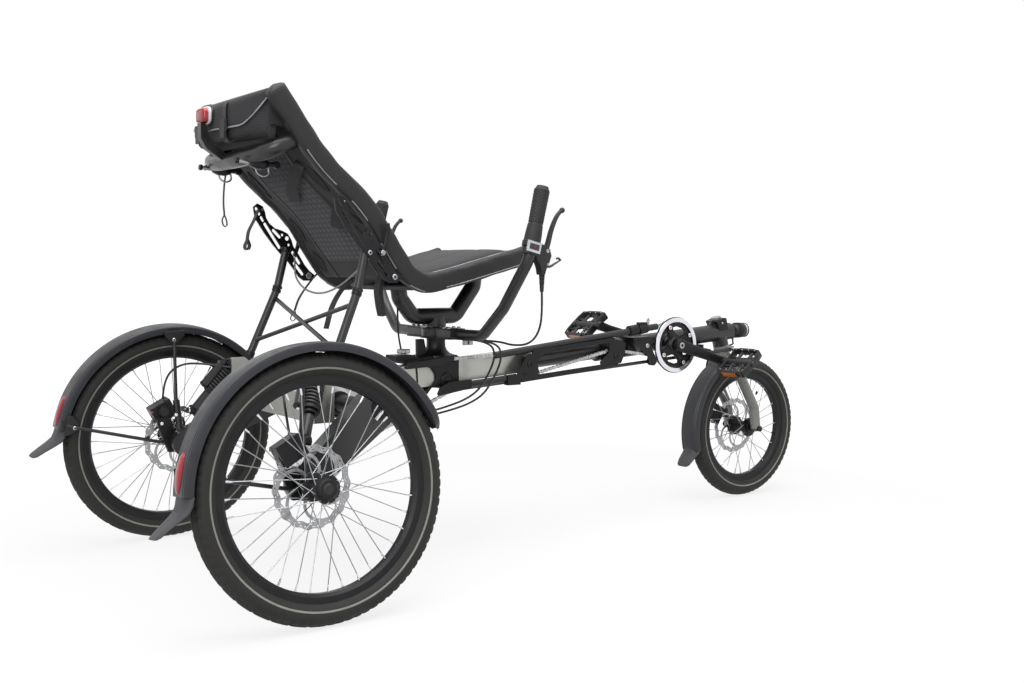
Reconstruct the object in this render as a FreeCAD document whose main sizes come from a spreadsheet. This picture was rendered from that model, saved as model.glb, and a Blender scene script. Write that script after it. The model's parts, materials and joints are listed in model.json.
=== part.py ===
import FreeCAD, Part
import Sketcher
import math
import os

# Recumbent delta tricycle: two cambered rear wheels on swingarms, one steered front wheel.
# Millimetres, +X forward, +Y left, +Z up. The origin is on the floor under the middle of the box.

doc = FreeCAD.newDocument("RecumbentTricycle")
sheet = doc.addObject("Spreadsheet::Sheet", "Sizes")
parts = []


class Size:
    """A value of the sheet, or a sum or product of them, with the expression that binds it."""

    def __init__(self, value, text):
        self.value = float(value)
        self.text = text

    def __float__(self):
        return self.value

    def __add__(self, other):
        return Size(self.value + float(other), "(%s + %s)" % (self.text, textOf(other)))

    def __radd__(self, other):
        return Size(float(other) + self.value, "(%s + %s)" % (textOf(other), self.text))

    def __sub__(self, other):
        return Size(self.value - float(other), "(%s - %s)" % (self.text, textOf(other)))

    def __rsub__(self, other):
        return Size(float(other) - self.value, "(%s - %s)" % (textOf(other), self.text))

    def __mul__(self, other):
        return Size(self.value * float(other), "(%s * %s)" % (self.text, textOf(other)))

    def __rmul__(self, other):
        return Size(float(other) * self.value, "(%s * %s)" % (textOf(other), self.text))

    def __truediv__(self, other):
        return Size(self.value / float(other), "(%s / %s)" % (self.text, textOf(other)))

    def __neg__(self):
        return Size(-self.value, "(0 - %s)" % self.text)


def textOf(value):
    return value.text if isinstance(value, Size) else repr(float(value))


def cosine(angle):
    return Size(math.cos(math.radians(float(angle))), "cos(%s)" % textOf(angle))


def sine(angle):
    return Size(math.sin(math.radians(float(angle))), "sin(%s)" % textOf(angle))


rows = []


def size(alias, value):
    """One driving size: a row of the sheet with its alias."""
    rows.append(alias)
    cell = "B%d" % len(rows)
    sheet.set("A%d" % len(rows), alias)
    sheet.set(cell, str(value))
    sheet.setAlias(cell, alias)
    return Size(value, "Sizes." + alias)


# Wheels
wheelbase = size("wheelbase", 1540)
rearRadius = size("rearRadius", 250)
frontRadius = size("frontRadius", 200)
tyreSection = size("tyreSection", 47)
crownHalf = size("crownHalf", 9)
shoulderHalf = size("shoulderHalf", 19.5)
shoulderDrop = size("shoulderDrop", 7.5)
rimWidth = size("rimWidth", 25)
rimOverlap = size("rimOverlap", 6)
rimDepth = size("rimDepth", 20)
rimWall = size("rimWall", 2)
fitGap = size("fitGap", 0.3)
runGap = size("runGap", 0.05)
camber = size("camber", 5.3)
rearHubY = size("rearHubY", 408)
flapReach = size("flapReach", 320)
hubRadius = size("hubRadius", 17)
flangeRadius = size("flangeRadius", 27)
flangeThickness = size("flangeThickness", 3)
rearFlangeOut = size("rearFlangeOut", 17)
rearFlangeIn = size("rearFlangeIn", 30)
frontFlange = size("frontFlange", 29)
capReach = size("capReach", 27)
capRadius = size("capRadius", 20)
spokeRadius = size("spokeRadius", 1)
rearSpokes = size("rearSpokes", 36)
frontSpokes = size("frontSpokes", 28)
axleRadius = size("axleRadius", 8)
rotorRadius = size("rotorRadius", 80)
rotorBand = size("rotorBand", 15)
rotorThickness = size("rotorThickness", 2)
rotorOffset = size("rotorOffset", 44)
rotorHubRadius = size("rotorHubRadius", 26)
rotorArmWidth = size("rotorArmWidth", 9)
rotorArms = size("rotorArms", 6)

rearAxleX = (flapReach - wheelbase - frontRadius) / 2
frontAxleX = rearAxleX + wheelbase
rearAxleZ = rearRadius * cosine(camber) + crownHalf * sine(camber)
frontAxleZ = frontRadius

# Frame
tubeWidth = size("tubeWidth", 54)
tubeHeight = size("tubeHeight", 53)
boomRadius = size("boomRadius", 24)
boomSlope = size("boomSlope", 4.1)
tubeEndX = size("tubeEndX", 760)
tubeEndZ = size("tubeEndZ", 427)
tubeBendX = size("tubeBendX", 440)
boomSetback = size("boomSetback", 62)
boomFrontX = wheelbase - boomSetback
boomInsert = size("boomInsert", 120)
crossX = size("crossX", 105)
crossZ = size("crossZ", 368)
crossWidth = size("crossWidth", 45)
crossHeight = size("crossHeight", 58)
crossHalf = size("crossHalf", 205)
pivotX = size("pivotX", 205)
pivotZ = size("pivotZ", 362)
pivotRadius = size("pivotRadius", 19)
armInnerY = size("armInnerY", 205)
armWidth = size("armWidth", 40)
armDepth = size("armDepth", 82)
armHubY = size("armHubY", 318)
postX = size("postX", 496)
postTopZ = size("postTopZ", 489)
postBottomRadius = size("postBottomRadius", 36)
postTopRadius = size("postTopRadius", 25)
housingLength = size("housingLength", 96)
housingWall = size("housingWall", 9)
housingFloor = size("housingFloor", 3)
barPlateThickness = size("barPlateThickness", 22)

# Steering
headAngle = size("headAngle", 75)
headSetback = size("headSetback", 86)
headX = wheelbase - headSetback
headLowZ = size("headLowZ", 440)
crownDepth = size("crownDepth", 45)
pinRadius = size("pinRadius", 4)
headRadius = size("headRadius", 22)
steererRadius = size("steererRadius", 14)
crownZ = size("crownZ", 412)
armThickness = size("armThickness", 5)
columnRadius = size("columnRadius", 9)
headTopZ = size("headTopZ", 512)
bladeRadius = size("bladeRadius", 14)
bladeY = size("bladeY", 52)
linkArm = size("linkArm", 32)
rodRadius = size("rodRadius", 4.5)
barRadius = size("barRadius", 12.7)
gripY = size("gripY", 345)
gripRadius = size("gripRadius", 17)

# Drive
crankX = size("crankX", 1222)
crankLength = size("crankLength", 170)
crankAngle = size("crankAngle", 17)
ringY = size("ringY", 46)
guardRadius = size("guardRadius", 74)
guardWidth = size("guardWidth", 12)
guardThickness = size("guardThickness", 4)
ringTeeth = size("ringTeeth", 34)
chainPitch = size("chainPitch", 12.7)
chainWidth = size("chainWidth", 8)
chainTubeRadius = size("chainTubeRadius", 8.5)
chainTubeBore = size("chainTubeBore", 6.5)
spindleRadius = size("spindleRadius", 11)
shellRadius = size("shellRadius", 21)
shellHalf = size("shellHalf", 34)
crankY = size("crankY", 69)
crankThickness = size("crankThickness", 14)
pedalY = size("pedalY", 130)
pedalLength = size("pedalLength", 96)
pedalWidth = size("pedalWidth", 88)
pedalHeight = size("pedalHeight", 22)
pedalTilt = size("pedalTilt", -40)
pedalAxle = size("pedalAxle", 7)
shellDrop = size("shellDrop", 10)
sprocketRadius = size("sprocketRadius", 42)

# Seat
railY = size("railY", 186)
railWidth = size("railWidth", 30)
railDepth = size("railDepth", 42)
meshThickness = size("meshThickness", 4)
baseThickness = size("baseThickness", 6)
cushionDepth = size("cushionDepth", 26)
loopRadius = size("loopRadius", 17)
strutRadius = size("strutRadius", 9)
braceRadius = size("braceRadius", 5)

fenderGap = size("fenderGap", 16)
fenderWidth = size("fenderWidth", 62)
fenderThickness = size("fenderThickness", 2.5)
fenderSkirt = size("fenderSkirt", 16)
lensDepth = size("lensDepth", 5.2)
sheet.recompute()


# Helpers that bind sizes and places
def bind(obj, **values):
    for prop, value in values.items():
        setattr(obj, prop, float(value))
        if isinstance(value, Size):
            obj.setExpression(prop, value.text)
    return obj


def place(obj, x=0, y=0, z=0, axis=None, angle=0):
    """Puts an object at x, y, z, turned about axis, each bound to the sheet where it comes from it."""
    turn = FreeCAD.Rotation(FreeCAD.Vector(*(axis or (0, 0, 1))), float(angle))
    obj.Placement = FreeCAD.Placement(vec(x, y, z), turn)
    for name, value in (("x", x), ("y", y), ("z", z)):
        if isinstance(value, Size):
            obj.setExpression("Placement.Base." + name, value.text)
    if isinstance(angle, Size):
        obj.setExpression("Placement.Rotation.Angle", angle.text)
    return obj


def vec(x, y, z):
    return FreeCAD.Vector(float(x), float(y), float(z))


def keep(obj, label):
    """Marks an object as a sub-part and names it."""
    obj.Label = label
    parts.append(obj)
    return obj


def baked(shape):
    """The shape with its own placement worked into its geometry."""
    matrix = shape.Placement.toMatrix()
    plain = shape.copy()
    plain.Placement = FreeCAD.Placement()
    return plain.transformed(matrix, True)


def feature(label, shape, at=None):
    """A sub-part whose shape is made by Part's own functions, with its place set after its shape."""
    obj = doc.addObject("Part::Feature", label)
    obj.Shape = baked(shape)
    if at:
        place(obj, *at)
    return keep(obj, label)


# Helpers for shapes made in code
def route(points, bend=0.45):
    """A wire of straight runs joined by tangent arcs. bend is one radius, or the share of the
    shorter run that each arc may take up."""
    pts = [vec(*p) for p in points]
    edges = []
    start = pts[0]
    for i in range(1, len(pts) - 1):
        a, b, c = pts[i - 1], pts[i], pts[i + 1]
        back, ahead = (a - b), (c - b)
        half = back.getAngle(ahead) / 2
        shorter = min(back.Length, ahead.Length)
        reach = bend / math.tan(half) if bend > 1 else bend * shorter
        reach = min(reach, 0.49 * shorter)
        back.normalize()
        ahead.normalize()
        first, last = b + back * reach, b + ahead * reach
        middle = back + ahead
        middle.normalize()
        radius = reach * math.tan(half)
        centre = b + middle * (radius / math.sin(half))
        edges.append(Part.LineSegment(start, first).toShape())
        edges.append(Part.Arc(first, centre - middle * radius, last).toShape())
        start = last
    edges.append(Part.LineSegment(start, pts[-1]).toShape())
    return Part.Wire(edges)


def sweep(profile, wire):
    return wire.makePipeShell([profile], True, True)


def tube(points, radius, bend=0.45):
    """A round bar along a route: a cylinder for each run and a piece of a torus for each arc."""
    radius = float(radius)
    pieces = []
    for edge in route(points, bend).Edges:
        first, last = edge.valueAt(edge.FirstParameter), edge.valueAt(edge.LastParameter)
        if isinstance(edge.Curve, Part.Line):
            if (last - first).Length > 0.01:
                pieces.append(Part.makeCylinder(radius, (last - first).Length, first, last - first))
            continue
        heading = edge.tangentAt(edge.FirstParameter)
        disc = Part.Face(Part.Wire(Part.makeCircle(radius, first, heading)))
        curve = edge.Curve
        turn = math.degrees(edge.LastParameter - edge.FirstParameter)
        pieces.append(disc.revolve(curve.Center, curve.Axis, turn))
    return join(pieces)


def rod(start, end, radius):
    a, b = vec(*start), vec(*end)
    return Part.makeCylinder(float(radius), (b - a).Length, a, b - a)


def blockAt(x0, x1, y0, y1, z0, z1):
    """A box given by its lowest and highest corners."""
    low = vec(x0, y0, z0)
    high = vec(x1, y1, z1)
    size3 = high - low
    return Part.makeBox(size3.x, size3.y, size3.z, low)


def plateXZ(points, y0, y1):
    """A flat plate with its outline in the side view, from y0 to y1."""
    corners = [vec(x, y0, z) for x, z in points]
    face = Part.Face(Part.makePolygon(corners + [corners[0]]))
    return face.extrude(vec(0, float(y1) - float(y0), 0))


def join(shapes):
    """One solid of shapes that meet or overlap."""
    return shapes[0].multiFuse(shapes[1:]).removeSplitter()


def turned(profile, axis=(0, 1, 0)):
    """A solid of revolution: profile is (radius, along) corners, turned about the Y axis."""
    corners = [vec(r, a, 0) for r, a in profile]
    face = Part.Face(Part.makePolygon(corners + [corners[0]]))
    return face.revolve(vec(0, 0, 0), vec(*axis), 360)


def X(x):
    return rearAxleX + x


# Sketches whose corners and circles are bound to the sheet
def newSketch(body, name, plane="XY_Plane"):
    sketch = body.newObject("Sketcher::SketchObject", name)
    origin = [f for f in body.Origin.OriginFeatures if f.Role == plane][0]
    sketch.AttachmentSupport = [(origin, "")]
    sketch.MapMode = "FlatFace"
    return sketch


def fix(sketch, kind, where, value):
    """Adds a dimension and binds it."""
    index = sketch.addConstraint(Sketcher.Constraint(kind, *where, float(value)))
    if isinstance(value, Size):
        sketch.setExpression("Constraints[%d]" % index, value.text)


def outline(sketch, corners):
    """A closed outline, each corner dimensioned from the sketch's origin."""
    first = sketch.GeometryCount
    count = len(corners)
    for i in range(count):
        a, b = corners[i], corners[(i + 1) % count]
        sketch.addGeometry(Part.LineSegment(vec(a[0], a[1], 0), vec(b[0], b[1], 0)), False)
    for i in range(count):
        line = first + i
        after = first + (i + 1) % count
        sketch.addConstraint(Sketcher.Constraint("Coincident", line, 2, after, 1))
    for i in range(count):
        for kind, value in (("DistanceX", corners[i][0]), ("DistanceY", corners[i][1])):
            fix(sketch, kind, (-1, 1, first + i, 1), value)


def revolution(body, name, sketch, kind="PartDesign::Revolution"):
    obj = body.newObject(kind, name)
    obj.Profile = sketch
    obj.ReferenceAxis = (sketch, ["V_Axis"])
    obj.Angle = 360
    return obj


# Wheels: each is modelled about the Y axis at the origin and then placed on its axle
def makeTyre(label, radius):
    body = doc.addObject("PartDesign::Body", label)
    section = newSketch(body, label + "_section")
    bead = radius - tyreSection + rimOverlap + fitGap
    corners = [(bead, rimWidth / 2), (radius - tyreSection / 2, tyreSection / 2),
               (radius - shoulderDrop, shoulderHalf), (radius, crownHalf)]
    outline(section, corners + [(r, -half) for r, half in reversed(corners)])
    revolution(body, label + "_casing", section)
    return keep(body, label)


def makeRim(label, radius):
    body = doc.addObject("PartDesign::Body", label)
    section = newSketch(body, label + "_section")
    top = radius - tyreSection + rimOverlap
    bed = top - rimOverlap - 1
    low = top - rimDepth
    half = rimWidth / 2
    inner = half - rimWall
    corners = [(top, -half), (top, -inner), (bed, -inner), (bed, inner), (top, inner), (top, half),
               (low + 6, half), (low, half - 6), (low, 6 - half), (low + 6, -half)]
    outline(section, corners)
    revolution(body, label + "_ring", section)
    return keep(body, label)


def spokes(count, rim, flanges, reach):
    """Crossed spokes: pairs leave each flange the two ways, to points spread evenly on the rim."""
    found = []
    for i in range(count):
        side = 1 if i % 2 else -1
        lead = 1 if (i // 2) % 2 else -1
        at = 2 * math.pi * i / count
        away = at + lead * math.radians(reach)
        along = flanges[0] if side > 0 else flanges[1]
        layer = side * float(flangeThickness) * (0.5 + 0.5) + (lead * 1.6)
        radius = float(flangeRadius) - 3
        foot = vec(radius * math.cos(away), along + layer, radius * math.sin(away))
        tip = vec(rim * math.cos(at), side * 3.0, rim * math.sin(at))
        found.append(Part.makeCylinder(float(spokeRadius), (tip - foot).Length, foot, tip - foot))
    return found


def hubProfile(outer, inner, side, cap, carrier):
    """Corners of the hub shell with its two flanges, from its outer cap to its inner end."""
    shell, flange, thick = float(hubRadius), float(flangeRadius), float(flangeThickness)
    bore = float(axleRadius) + float(runGap)
    ends = [(bore, side * (outer + cap)), (float(capRadius), side * (outer + cap)),
            (float(capRadius), side * (outer + thick / 2)), (flange, side * (outer + thick / 2)),
            (flange, side * (outer - thick / 2)), (shell, side * (outer - thick / 2)),
            (shell, side * (thick / 2 - inner)), (flange, side * (thick / 2 - inner)),
            (flange, side * (-thick / 2 - inner)), (shell + 4, side * (-thick / 2 - inner)),
            (shell + 4, side * (-inner - carrier)), (bore, side * (-inner - carrier))]
    return ends


def makeRotor(label, side):
    """Brake rotor: a band on six slanted arms round a carrier, on the wheel's inner side."""
    half = float(rotorThickness) / 2
    band = float(rotorRadius) - float(rotorBand)
    ring = turned([(band, -half), (float(rotorRadius), -half), (float(rotorRadius), half), (band, half)])
    bore = float(hubRadius) + 4 + float(fitGap)
    hub = turned([(bore, -half), (float(rotorHubRadius), -half), (float(rotorHubRadius), half),
                  (bore, half)])
    pieces = [ring, hub]
    for i in range(int(float(rotorArms))):
        width = float(rotorArmWidth)
        arm = Part.makeBox(band + 4 - bore - 2, 2 * half, width, vec(bore + 2, -half, -width / 2))
        arm.rotate(vec(bore + 2, 0, 0), vec(0, 1, 0), 28)
        arm.rotate(vec(0, 0, 0), vec(0, 1, 0), 360 * i / float(rotorArms))
        pieces.append(arm)
    return join(pieces)


def rearWheel(side, name):
    at = (rearAxleX, rearHubY * side, rearAxleZ)
    turn = camber * side
    tyre = makeTyre("rear_%s_tyre" % name, rearRadius)
    rim = makeRim("rear_%s_rim" % name, rearRadius)
    bed = float(rearRadius) - float(tyreSection) + float(rimOverlap) - float(rimDepth)
    flanges = (float(rearFlangeOut), -float(rearFlangeIn))
    laced = spokes(int(float(rearSpokes)), bed - float(fitGap), flanges, 62)
    hub = turned(hubProfile(float(rearFlangeOut), float(rearFlangeIn), 1, float(capReach) - 17, 16))
    group = Part.Compound([hub] + laced)
    rotor = makeRotor("rotor", side)
    rotor.translate(vec(0, -float(rotorOffset), 0))
    if side < 0:
        group = group.mirror(vec(0, 0, 0), vec(0, 1, 0))
        rotor = rotor.mirror(vec(0, 0, 0), vec(0, 1, 0))
    hubNode = feature("rear_%s_hub_spokes" % name, group)
    rotorNode = feature("rear_%s_rotor" % name, rotor)
    for obj in (tyre, rim, hubNode, rotorNode):
        place(obj, *at, axis=(1, 0, 0), angle=turn)


def frontWheel():
    at = (frontAxleX, 0, frontAxleZ)
    tyre = makeTyre("front_tyre", frontRadius)
    rim = makeRim("front_rim", frontRadius)
    bed = float(frontRadius) - float(tyreSection) + float(rimOverlap) - float(rimDepth)
    laced = spokes(int(float(frontSpokes)), bed - float(fitGap), (float(frontFlange) - 4,
                                                                  -float(frontFlange) + 4), 58)
    hub = turned(hubProfile(float(frontFlange) - 4, float(frontFlange) - 4, -1, 8, 8))
    hubNode = feature("front_hub_spokes", Part.Compound([hub] + laced))
    rotor = makeRotor("rotor", 1)
    rotor.translate(vec(0, float(frontFlange) + 3, 0))
    rotorNode = feature("front_rotor", rotor)
    for obj in (tyre, rim, hubNode, rotorNode):
        place(obj, *at)


rearWheel(1, "left")
rearWheel(-1, "right")
frontWheel()


# Main tube: a rectangular tube in two runs, from the cross member to where the boom slides in
def boomPoint(x):
    """The point of the boom's centre line at a distance ahead of the rear axle."""
    return vec(X(x), 0, float(tubeEndZ) + (x - float(tubeEndX)) * math.tan(math.radians(float(boomSlope))))


def strip(a, b, wide, tall):
    """A straight bar of rectangular section from a to b, its width across the vehicle."""
    along = b - a
    along.normalize()
    across = vec(0, 1, 0)
    up = along.cross(across)
    up.normalize()
    sidewise = up.cross(along)
    corners = [a + sidewise * (u * wide / 2) + up * (v * tall / 2)
               for u, v in ((-1, -1), (1, -1), (1, 1), (-1, 1))]
    face = Part.Face(Part.makePolygon(corners + [corners[0]]))
    return face.extrude(b - a)


boomDirection = boomPoint(1000) - boomPoint(0)
boomDirection.normalize()
bend = boomPoint(float(tubeBendX))
tubeTail = vec(X(crossX + crossWidth / 2), 0, float(crossZ) + 4)
mainBar = join([strip(bend, boomPoint(float(tubeEndX)), float(tubeWidth), float(tubeHeight)),
                strip(tubeTail - vec(0, 0, 0), bend, float(tubeWidth), float(tubeHeight)),
                Part.makeCylinder(float(tubeHeight) / 2, float(tubeWidth),
                                  bend - vec(0, float(tubeWidth) / 2, 0), vec(0, 1, 0))])
boomTail = boomPoint(float(tubeEndX) - float(boomInsert))
boomBore = Part.makeCylinder(float(boomRadius) + float(runGap), float(boomInsert) + 40, boomTail,
                             boomDirection)
crossBox = blockAt(X(crossX - crossWidth / 2), X(crossX + crossWidth / 2), -crossHalf, crossHalf,
                   crossZ - crossHeight / 2, crossZ + crossHeight / 2)
pivotHole = Part.makeCylinder(float(pivotRadius), 900, vec(X(pivotX), -450, float(pivotZ)), vec(0, 1, 0))
columnBore = Part.makeCylinder(float(columnRadius) + float(runGap), 400, vec(X(postX), 0, 300))
mainShape = mainBar.cut(boomBore).cut(crossBox).cut(pivotHole).cut(columnBore)
feature("main_tube", mainShape)

# Rear cross member with the shock towers at its ends
towers = []
for side in (1, -1):
    y0, y1 = sorted((side * float(crossHalf), side * (float(crossHalf) - 8)))
    cx = float(crossX)
    profile = [(X(cx - 22), 345), (X(cx + 22), 345), (X(cx + 22), 425), (X(cx - 2), 447),
               (X(cx - 34), 447), (X(cx - 34), 420)]
    towers.append(plateXZ(profile, y0, y1))
crossMember = join([crossBox] + towers)
feature("rear_cross_member", crossMember)

# Pivot housing: a cast clamp round the main tube with the conical post of the steering bar
postFoot = boomPoint(float(postX))
bodyLow = postFoot.z - float(tubeHeight) / 2 - float(housingFloor)
bodyHigh = postFoot.z + float(tubeHeight) / 2 + float(housingWall)
housing = blockAt(X(postX - housingLength / 2), X(postX + housingLength / 2),
                  -tubeWidth / 2 - housingWall, tubeWidth / 2 + housingWall, bodyLow, bodyHigh)
flange = blockAt(X(395), X(postX), -24, 24, bodyHigh - 6, bodyHigh)
post = Part.makeCone(float(postBottomRadius), float(postTopRadius), float(postTopZ) - bodyHigh + 1,
                     vec(X(postX), 0, bodyHigh - 1))
housing = join([housing, flange, post]).cut(mainBar).cut(columnBore)
feature("pivot_housing", housing)

# Boom: a round tube that slides in the main tube, with the head sleeve at its front
steerAxis = vec(-math.cos(math.radians(float(headAngle))), 0, math.sin(math.radians(float(headAngle))))
headFoot = vec(X(headX), 0, float(crownZ))


def steerPoint(z):
    """The point of the steering axis at a height."""
    return headFoot + steerAxis * ((z - headFoot.z) / steerAxis.z)


boomBar = Part.makeCylinder(float(boomRadius), (boomPoint(float(boomFrontX)) - boomTail).Length, boomTail,
                            boomDirection)
headLow, headHigh = steerPoint(float(headLowZ)), steerPoint(float(headTopZ))
sleeve = Part.makeCylinder(float(headRadius), (headHigh - headLow).Length, headLow, steerAxis)
sleeveBore = Part.makeCylinder(float(steererRadius) + float(runGap), 300, headLow - steerAxis * 50,
                               steerAxis)
ringZ = boomPoint(float(crankX)).z - float(shellDrop)
shellBore = Part.makeCylinder(float(spindleRadius) + float(runGap), 200, vec(X(crankX), -100, ringZ),
                              vec(0, 1, 0))
shell = Part.makeCylinder(float(shellRadius), 2 * float(shellHalf), vec(X(crankX), -float(shellHalf), ringZ),
                          vec(0, 1, 0))
boom = join([boomBar, sleeve, shell]).cut(sleeveBore).cut(shellBore)
feature("boom", boom)


# Fork: steerer, crown and two blades with a kink down to the axle, and the arm of the tie rod
def makeFork():
    top = steerPoint(float(headTopZ) + 8)
    crown = steerPoint(float(headLowZ) - 1)
    steerer = Part.makeCylinder(float(steererRadius), (top - crown).Length, crown, steerAxis)
    block = Part.makeCylinder(float(headRadius), float(crownDepth), crown - steerAxis * float(crownDepth),
                              steerAxis)
    pieces = [steerer, block]
    shoulder = crown - steerAxis * (float(crownDepth) - 13)
    for side in (1, -1):
        y = side * float(bladeY)
        pieces.append(tube([(shoulder.x, side * 4, shoulder.z), (shoulder.x + 4, y, shoulder.z - 14),
                            (frontAxleX - 66, y, 352), (frontAxleX - 8, y, 260), (frontAxleX, y, frontAxleZ)],
                           bladeRadius, 24))
    reach = float(linkArm) / math.sin(math.radians(float(headAngle)))
    armTop = crown.z - 0.5
    armFoot = armTop - float(armThickness)
    eyeZ = armFoot - 5
    pin = steerPoint(eyeZ)
    pieces.append(blockAt(pin.x - 8, pin.x + 8, -reach - 8, 0, armFoot, armTop))
    pieces.append(Part.makeCylinder(float(pinRadius), 13, vec(pin.x, -reach, armFoot - 11)))
    fork = join(pieces)
    axleBore = Part.makeCylinder(float(axleRadius) + float(runGap), 300,
                                 vec(frontAxleX, -150, frontAxleZ), vec(0, 1, 0))
    return fork.cut(axleBore), vec(pin.x, -reach, eyeZ)


forkShape, rodFront = makeFork()
feature("fork", forkShape)
axleHalf = float(bladeY) + float(bladeRadius) + 4
frontAxle = Part.makeCylinder(float(axleRadius), 2 * axleHalf,
                              vec(frontAxleX, -axleHalf, frontAxleZ), vec(0, 1, 0))
feature("front_axle", frontAxle)


# Fenders: a channel with two skirts over the tyre, made by turning its section about the wheel's axis
def fenderShell(radius, width, start, end):
    inner = radius + float(fenderGap)
    half = width / 2
    wall = float(fenderThickness)
    skirt = float(fenderSkirt)
    corners = [(inner, -half + wall), (inner - skirt, -half + wall), (inner - skirt, -half),
               (inner + wall, -half), (inner + wall, half), (inner - skirt, half),
               (inner - skirt, half - wall), (inner, half - wall)]
    points = [vec(r, a, 0) for r, a in corners]
    face = Part.Face(Part.makePolygon(points + [points[0]]))
    face.rotate(vec(0, 0, 0), vec(0, 1, 0), -start)
    return face.revolve(vec(0, 0, 0), vec(0, 1, 0), -(end - start))


def flap(radius, width, at, reach, drop):
    """A rubber flap that goes on from the fender's rear end, out to reach and down by drop."""
    angle = math.radians(at)
    wall = float(fenderThickness)
    root = radius + float(fenderGap)
    x, z = root * math.cos(angle), root * math.sin(angle)
    corners = []
    for px, pz, half in ((x - wall, z, width / 2), (-reach, z - drop, width * 0.46)):
        corners.append(Part.makePolygon([vec(px, -half, pz), vec(px + wall, -half, pz), vec(px + wall, half, pz),
                                         vec(px, half, pz), vec(px, -half, pz)]))
    return Part.makeLoft(corners, True, True)


def wheelFrame(side):
    """The placement of a rear wheel: its hub centre, leaning by the camber."""
    return FreeCAD.Placement(vec(rearAxleX, rearHubY * side, rearAxleZ),
                             FreeCAD.Rotation(vec(1, 0, 0), float(camber) * side))


def onWheel(shape, side):
    """A shape drawn beside the left wheel's hub centre, moved there or mirrored to the right wheel."""
    placed = shape.copy() if side > 0 else shape.mirror(vec(0, 0, 0), vec(0, 1, 0))
    placed.Placement = wheelFrame(side).multiply(placed.Placement)
    return baked(placed)


for side, name in ((1, "left"), (-1, "right")):
    cover = fenderShell(float(rearRadius), float(fenderWidth), 22, 178)
    tail = flap(float(rearRadius), float(fenderWidth), 176, float(flapReach), 62)
    node = feature("rear_%s_fender" % name, join([cover, tail]))
    place(node, rearAxleX, rearHubY * side, rearAxleZ, axis=(1, 0, 0), angle=camber * side)

cover = fenderShell(float(frontRadius), 58, 121, 196)
tail = flap(float(frontRadius), 58, 194, 242, 52)
stayEnd = float(bladeY) + float(bladeRadius) - 2
forkHere = forkShape.copy()
forkHere.translate(vec(-frontAxleX, 0, -frontAxleZ))
forkHere = forkHere.fuse(Part.makeCylinder(float(axleRadius) + float(fitGap), 2 * axleHalf,
                                           vec(0, -axleHalf, 0), vec(0, 1, 0)))
frontStays = [rod((-206, side * 28, -12), (-6, side * stayEnd, -2), 2).cut(forkHere) for side in (1, -1)]
node = feature("front_fender", join([cover, tail] + frontStays))
place(node, frontAxleX, 0, frontAxleZ)


# Swingarms: closed drive cases from the pivot tube back and down to the hub carriers
def swingarm(side):
    inner, wide, depth = float(armInnerY), float(armWidth), float(armDepth)
    a = vec(X(pivotX), side * (inner + wide / 2), pivotZ)
    b = vec(rearAxleX, side * float(armHubY), float(rearAxleZ) - 7)
    along = b - a
    along.normalize()
    across = vec(0, 1, 0).cross(along)
    across.normalize()
    sidewise = along.cross(across)

    def section(point, d, w):
        corners = []
        for u, v in ((-1, -1), (1, -1), (1, 1), (-1, 1)):
            corners.append(point + across * (u * d / 2) + sidewise * (v * w / 2))
        return Part.makePolygon(corners + [corners[0]])
    arm = Part.makeLoft([section(a, depth, wide), section(b, depth * 0.72, wide * 0.8)], True, True)
    bossA = Part.makeCylinder(depth / 2, wide, vec(a.x, a.y - wide / 2, a.z), vec(0, 1, 0))
    tilt = math.radians(float(camber))
    out = vec(0, side * math.cos(tilt), math.sin(tilt))
    bossB = Part.makeCylinder(depth * 0.36, wide * 0.8, b - out * (wide * 0.4), out)
    centre = vec(rearAxleX, rearHubY * side, rearAxleZ)
    root = centre - out * (float(rearFlangeIn) + 50)
    stub = Part.makeCylinder(float(axleRadius), float(rearFlangeIn) + 50 + float(rearFlangeOut) + 4,
                             root, out)
    collar = Part.makeCylinder(float(hubRadius), 50 - 18, root, out)
    return join([arm, bossA, bossB, stub, collar]).cut(pivotHole)


swingarms = {side: swingarm(side) for side in (1, -1)}
feature("swingarms", Part.Compound([swingarms[1], swingarms[-1]]))

pivotHalf = float(armInnerY) + float(armWidth) + 6
pivotTube = Part.makeCylinder(float(pivotRadius) - float(runGap), 2 * pivotHalf,
                              vec(X(pivotX), -pivotHalf, float(pivotZ)), vec(0, 1, 0))
feature("pivot_tube", pivotTube)

# Shocks between the towers and the swingarms
shocks = []
for side in (1, -1):
    top = vec(X(80), side * (float(crossHalf) + 12 + float(fitGap)), 433)
    foot = vec(X(18), side * 296, 322)
    along = foot - top
    reach = along.Length
    along.normalize()
    pieces = [Part.makeCylinder(10, reach, top, along),
              Part.makeCylinder(21, reach * 0.55, top + along * 18, along),
              Part.makeCylinder(12, 24, top - vec(0, 12, 0), vec(0, 1, 0)),
              Part.makeCylinder(11, 22, foot - vec(0, 11, 0), vec(0, 1, 0))]
    shocks.append(join(pieces).cut(swingarms[side]))
feature("shocks", Part.Compound(shocks))

# Rear brake calipers on plates at the arm ends, straddling the rotors
caliperSlot = float(rotorThickness) / 2 + 1.2
calipers = []
for side in (1, -1):
    body = blockAt(60, 104, -float(rotorOffset) - 22, -float(rotorOffset) + 11, -26, 26)
    slot = blockAt(50, float(rotorRadius) + 3, -float(rotorOffset) - caliperSlot,
                   -float(rotorOffset) + caliperSlot, -30, 30)
    body = body.cut(slot)
    body.rotate(vec(0, 0, 0), vec(0, 1, 0), -119)
    armFace = -73.4
    plate = plateXZ([(-16, -24), (-16, 20), (-26, 60), (-60, 60), (-48, 20), (-30, -24)], armFace, -64)
    calipers.append(onWheel(join([body, plate]), side).cut(swingarms[side]))
feature("rear_calipers", Part.Compound(calipers))

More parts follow.
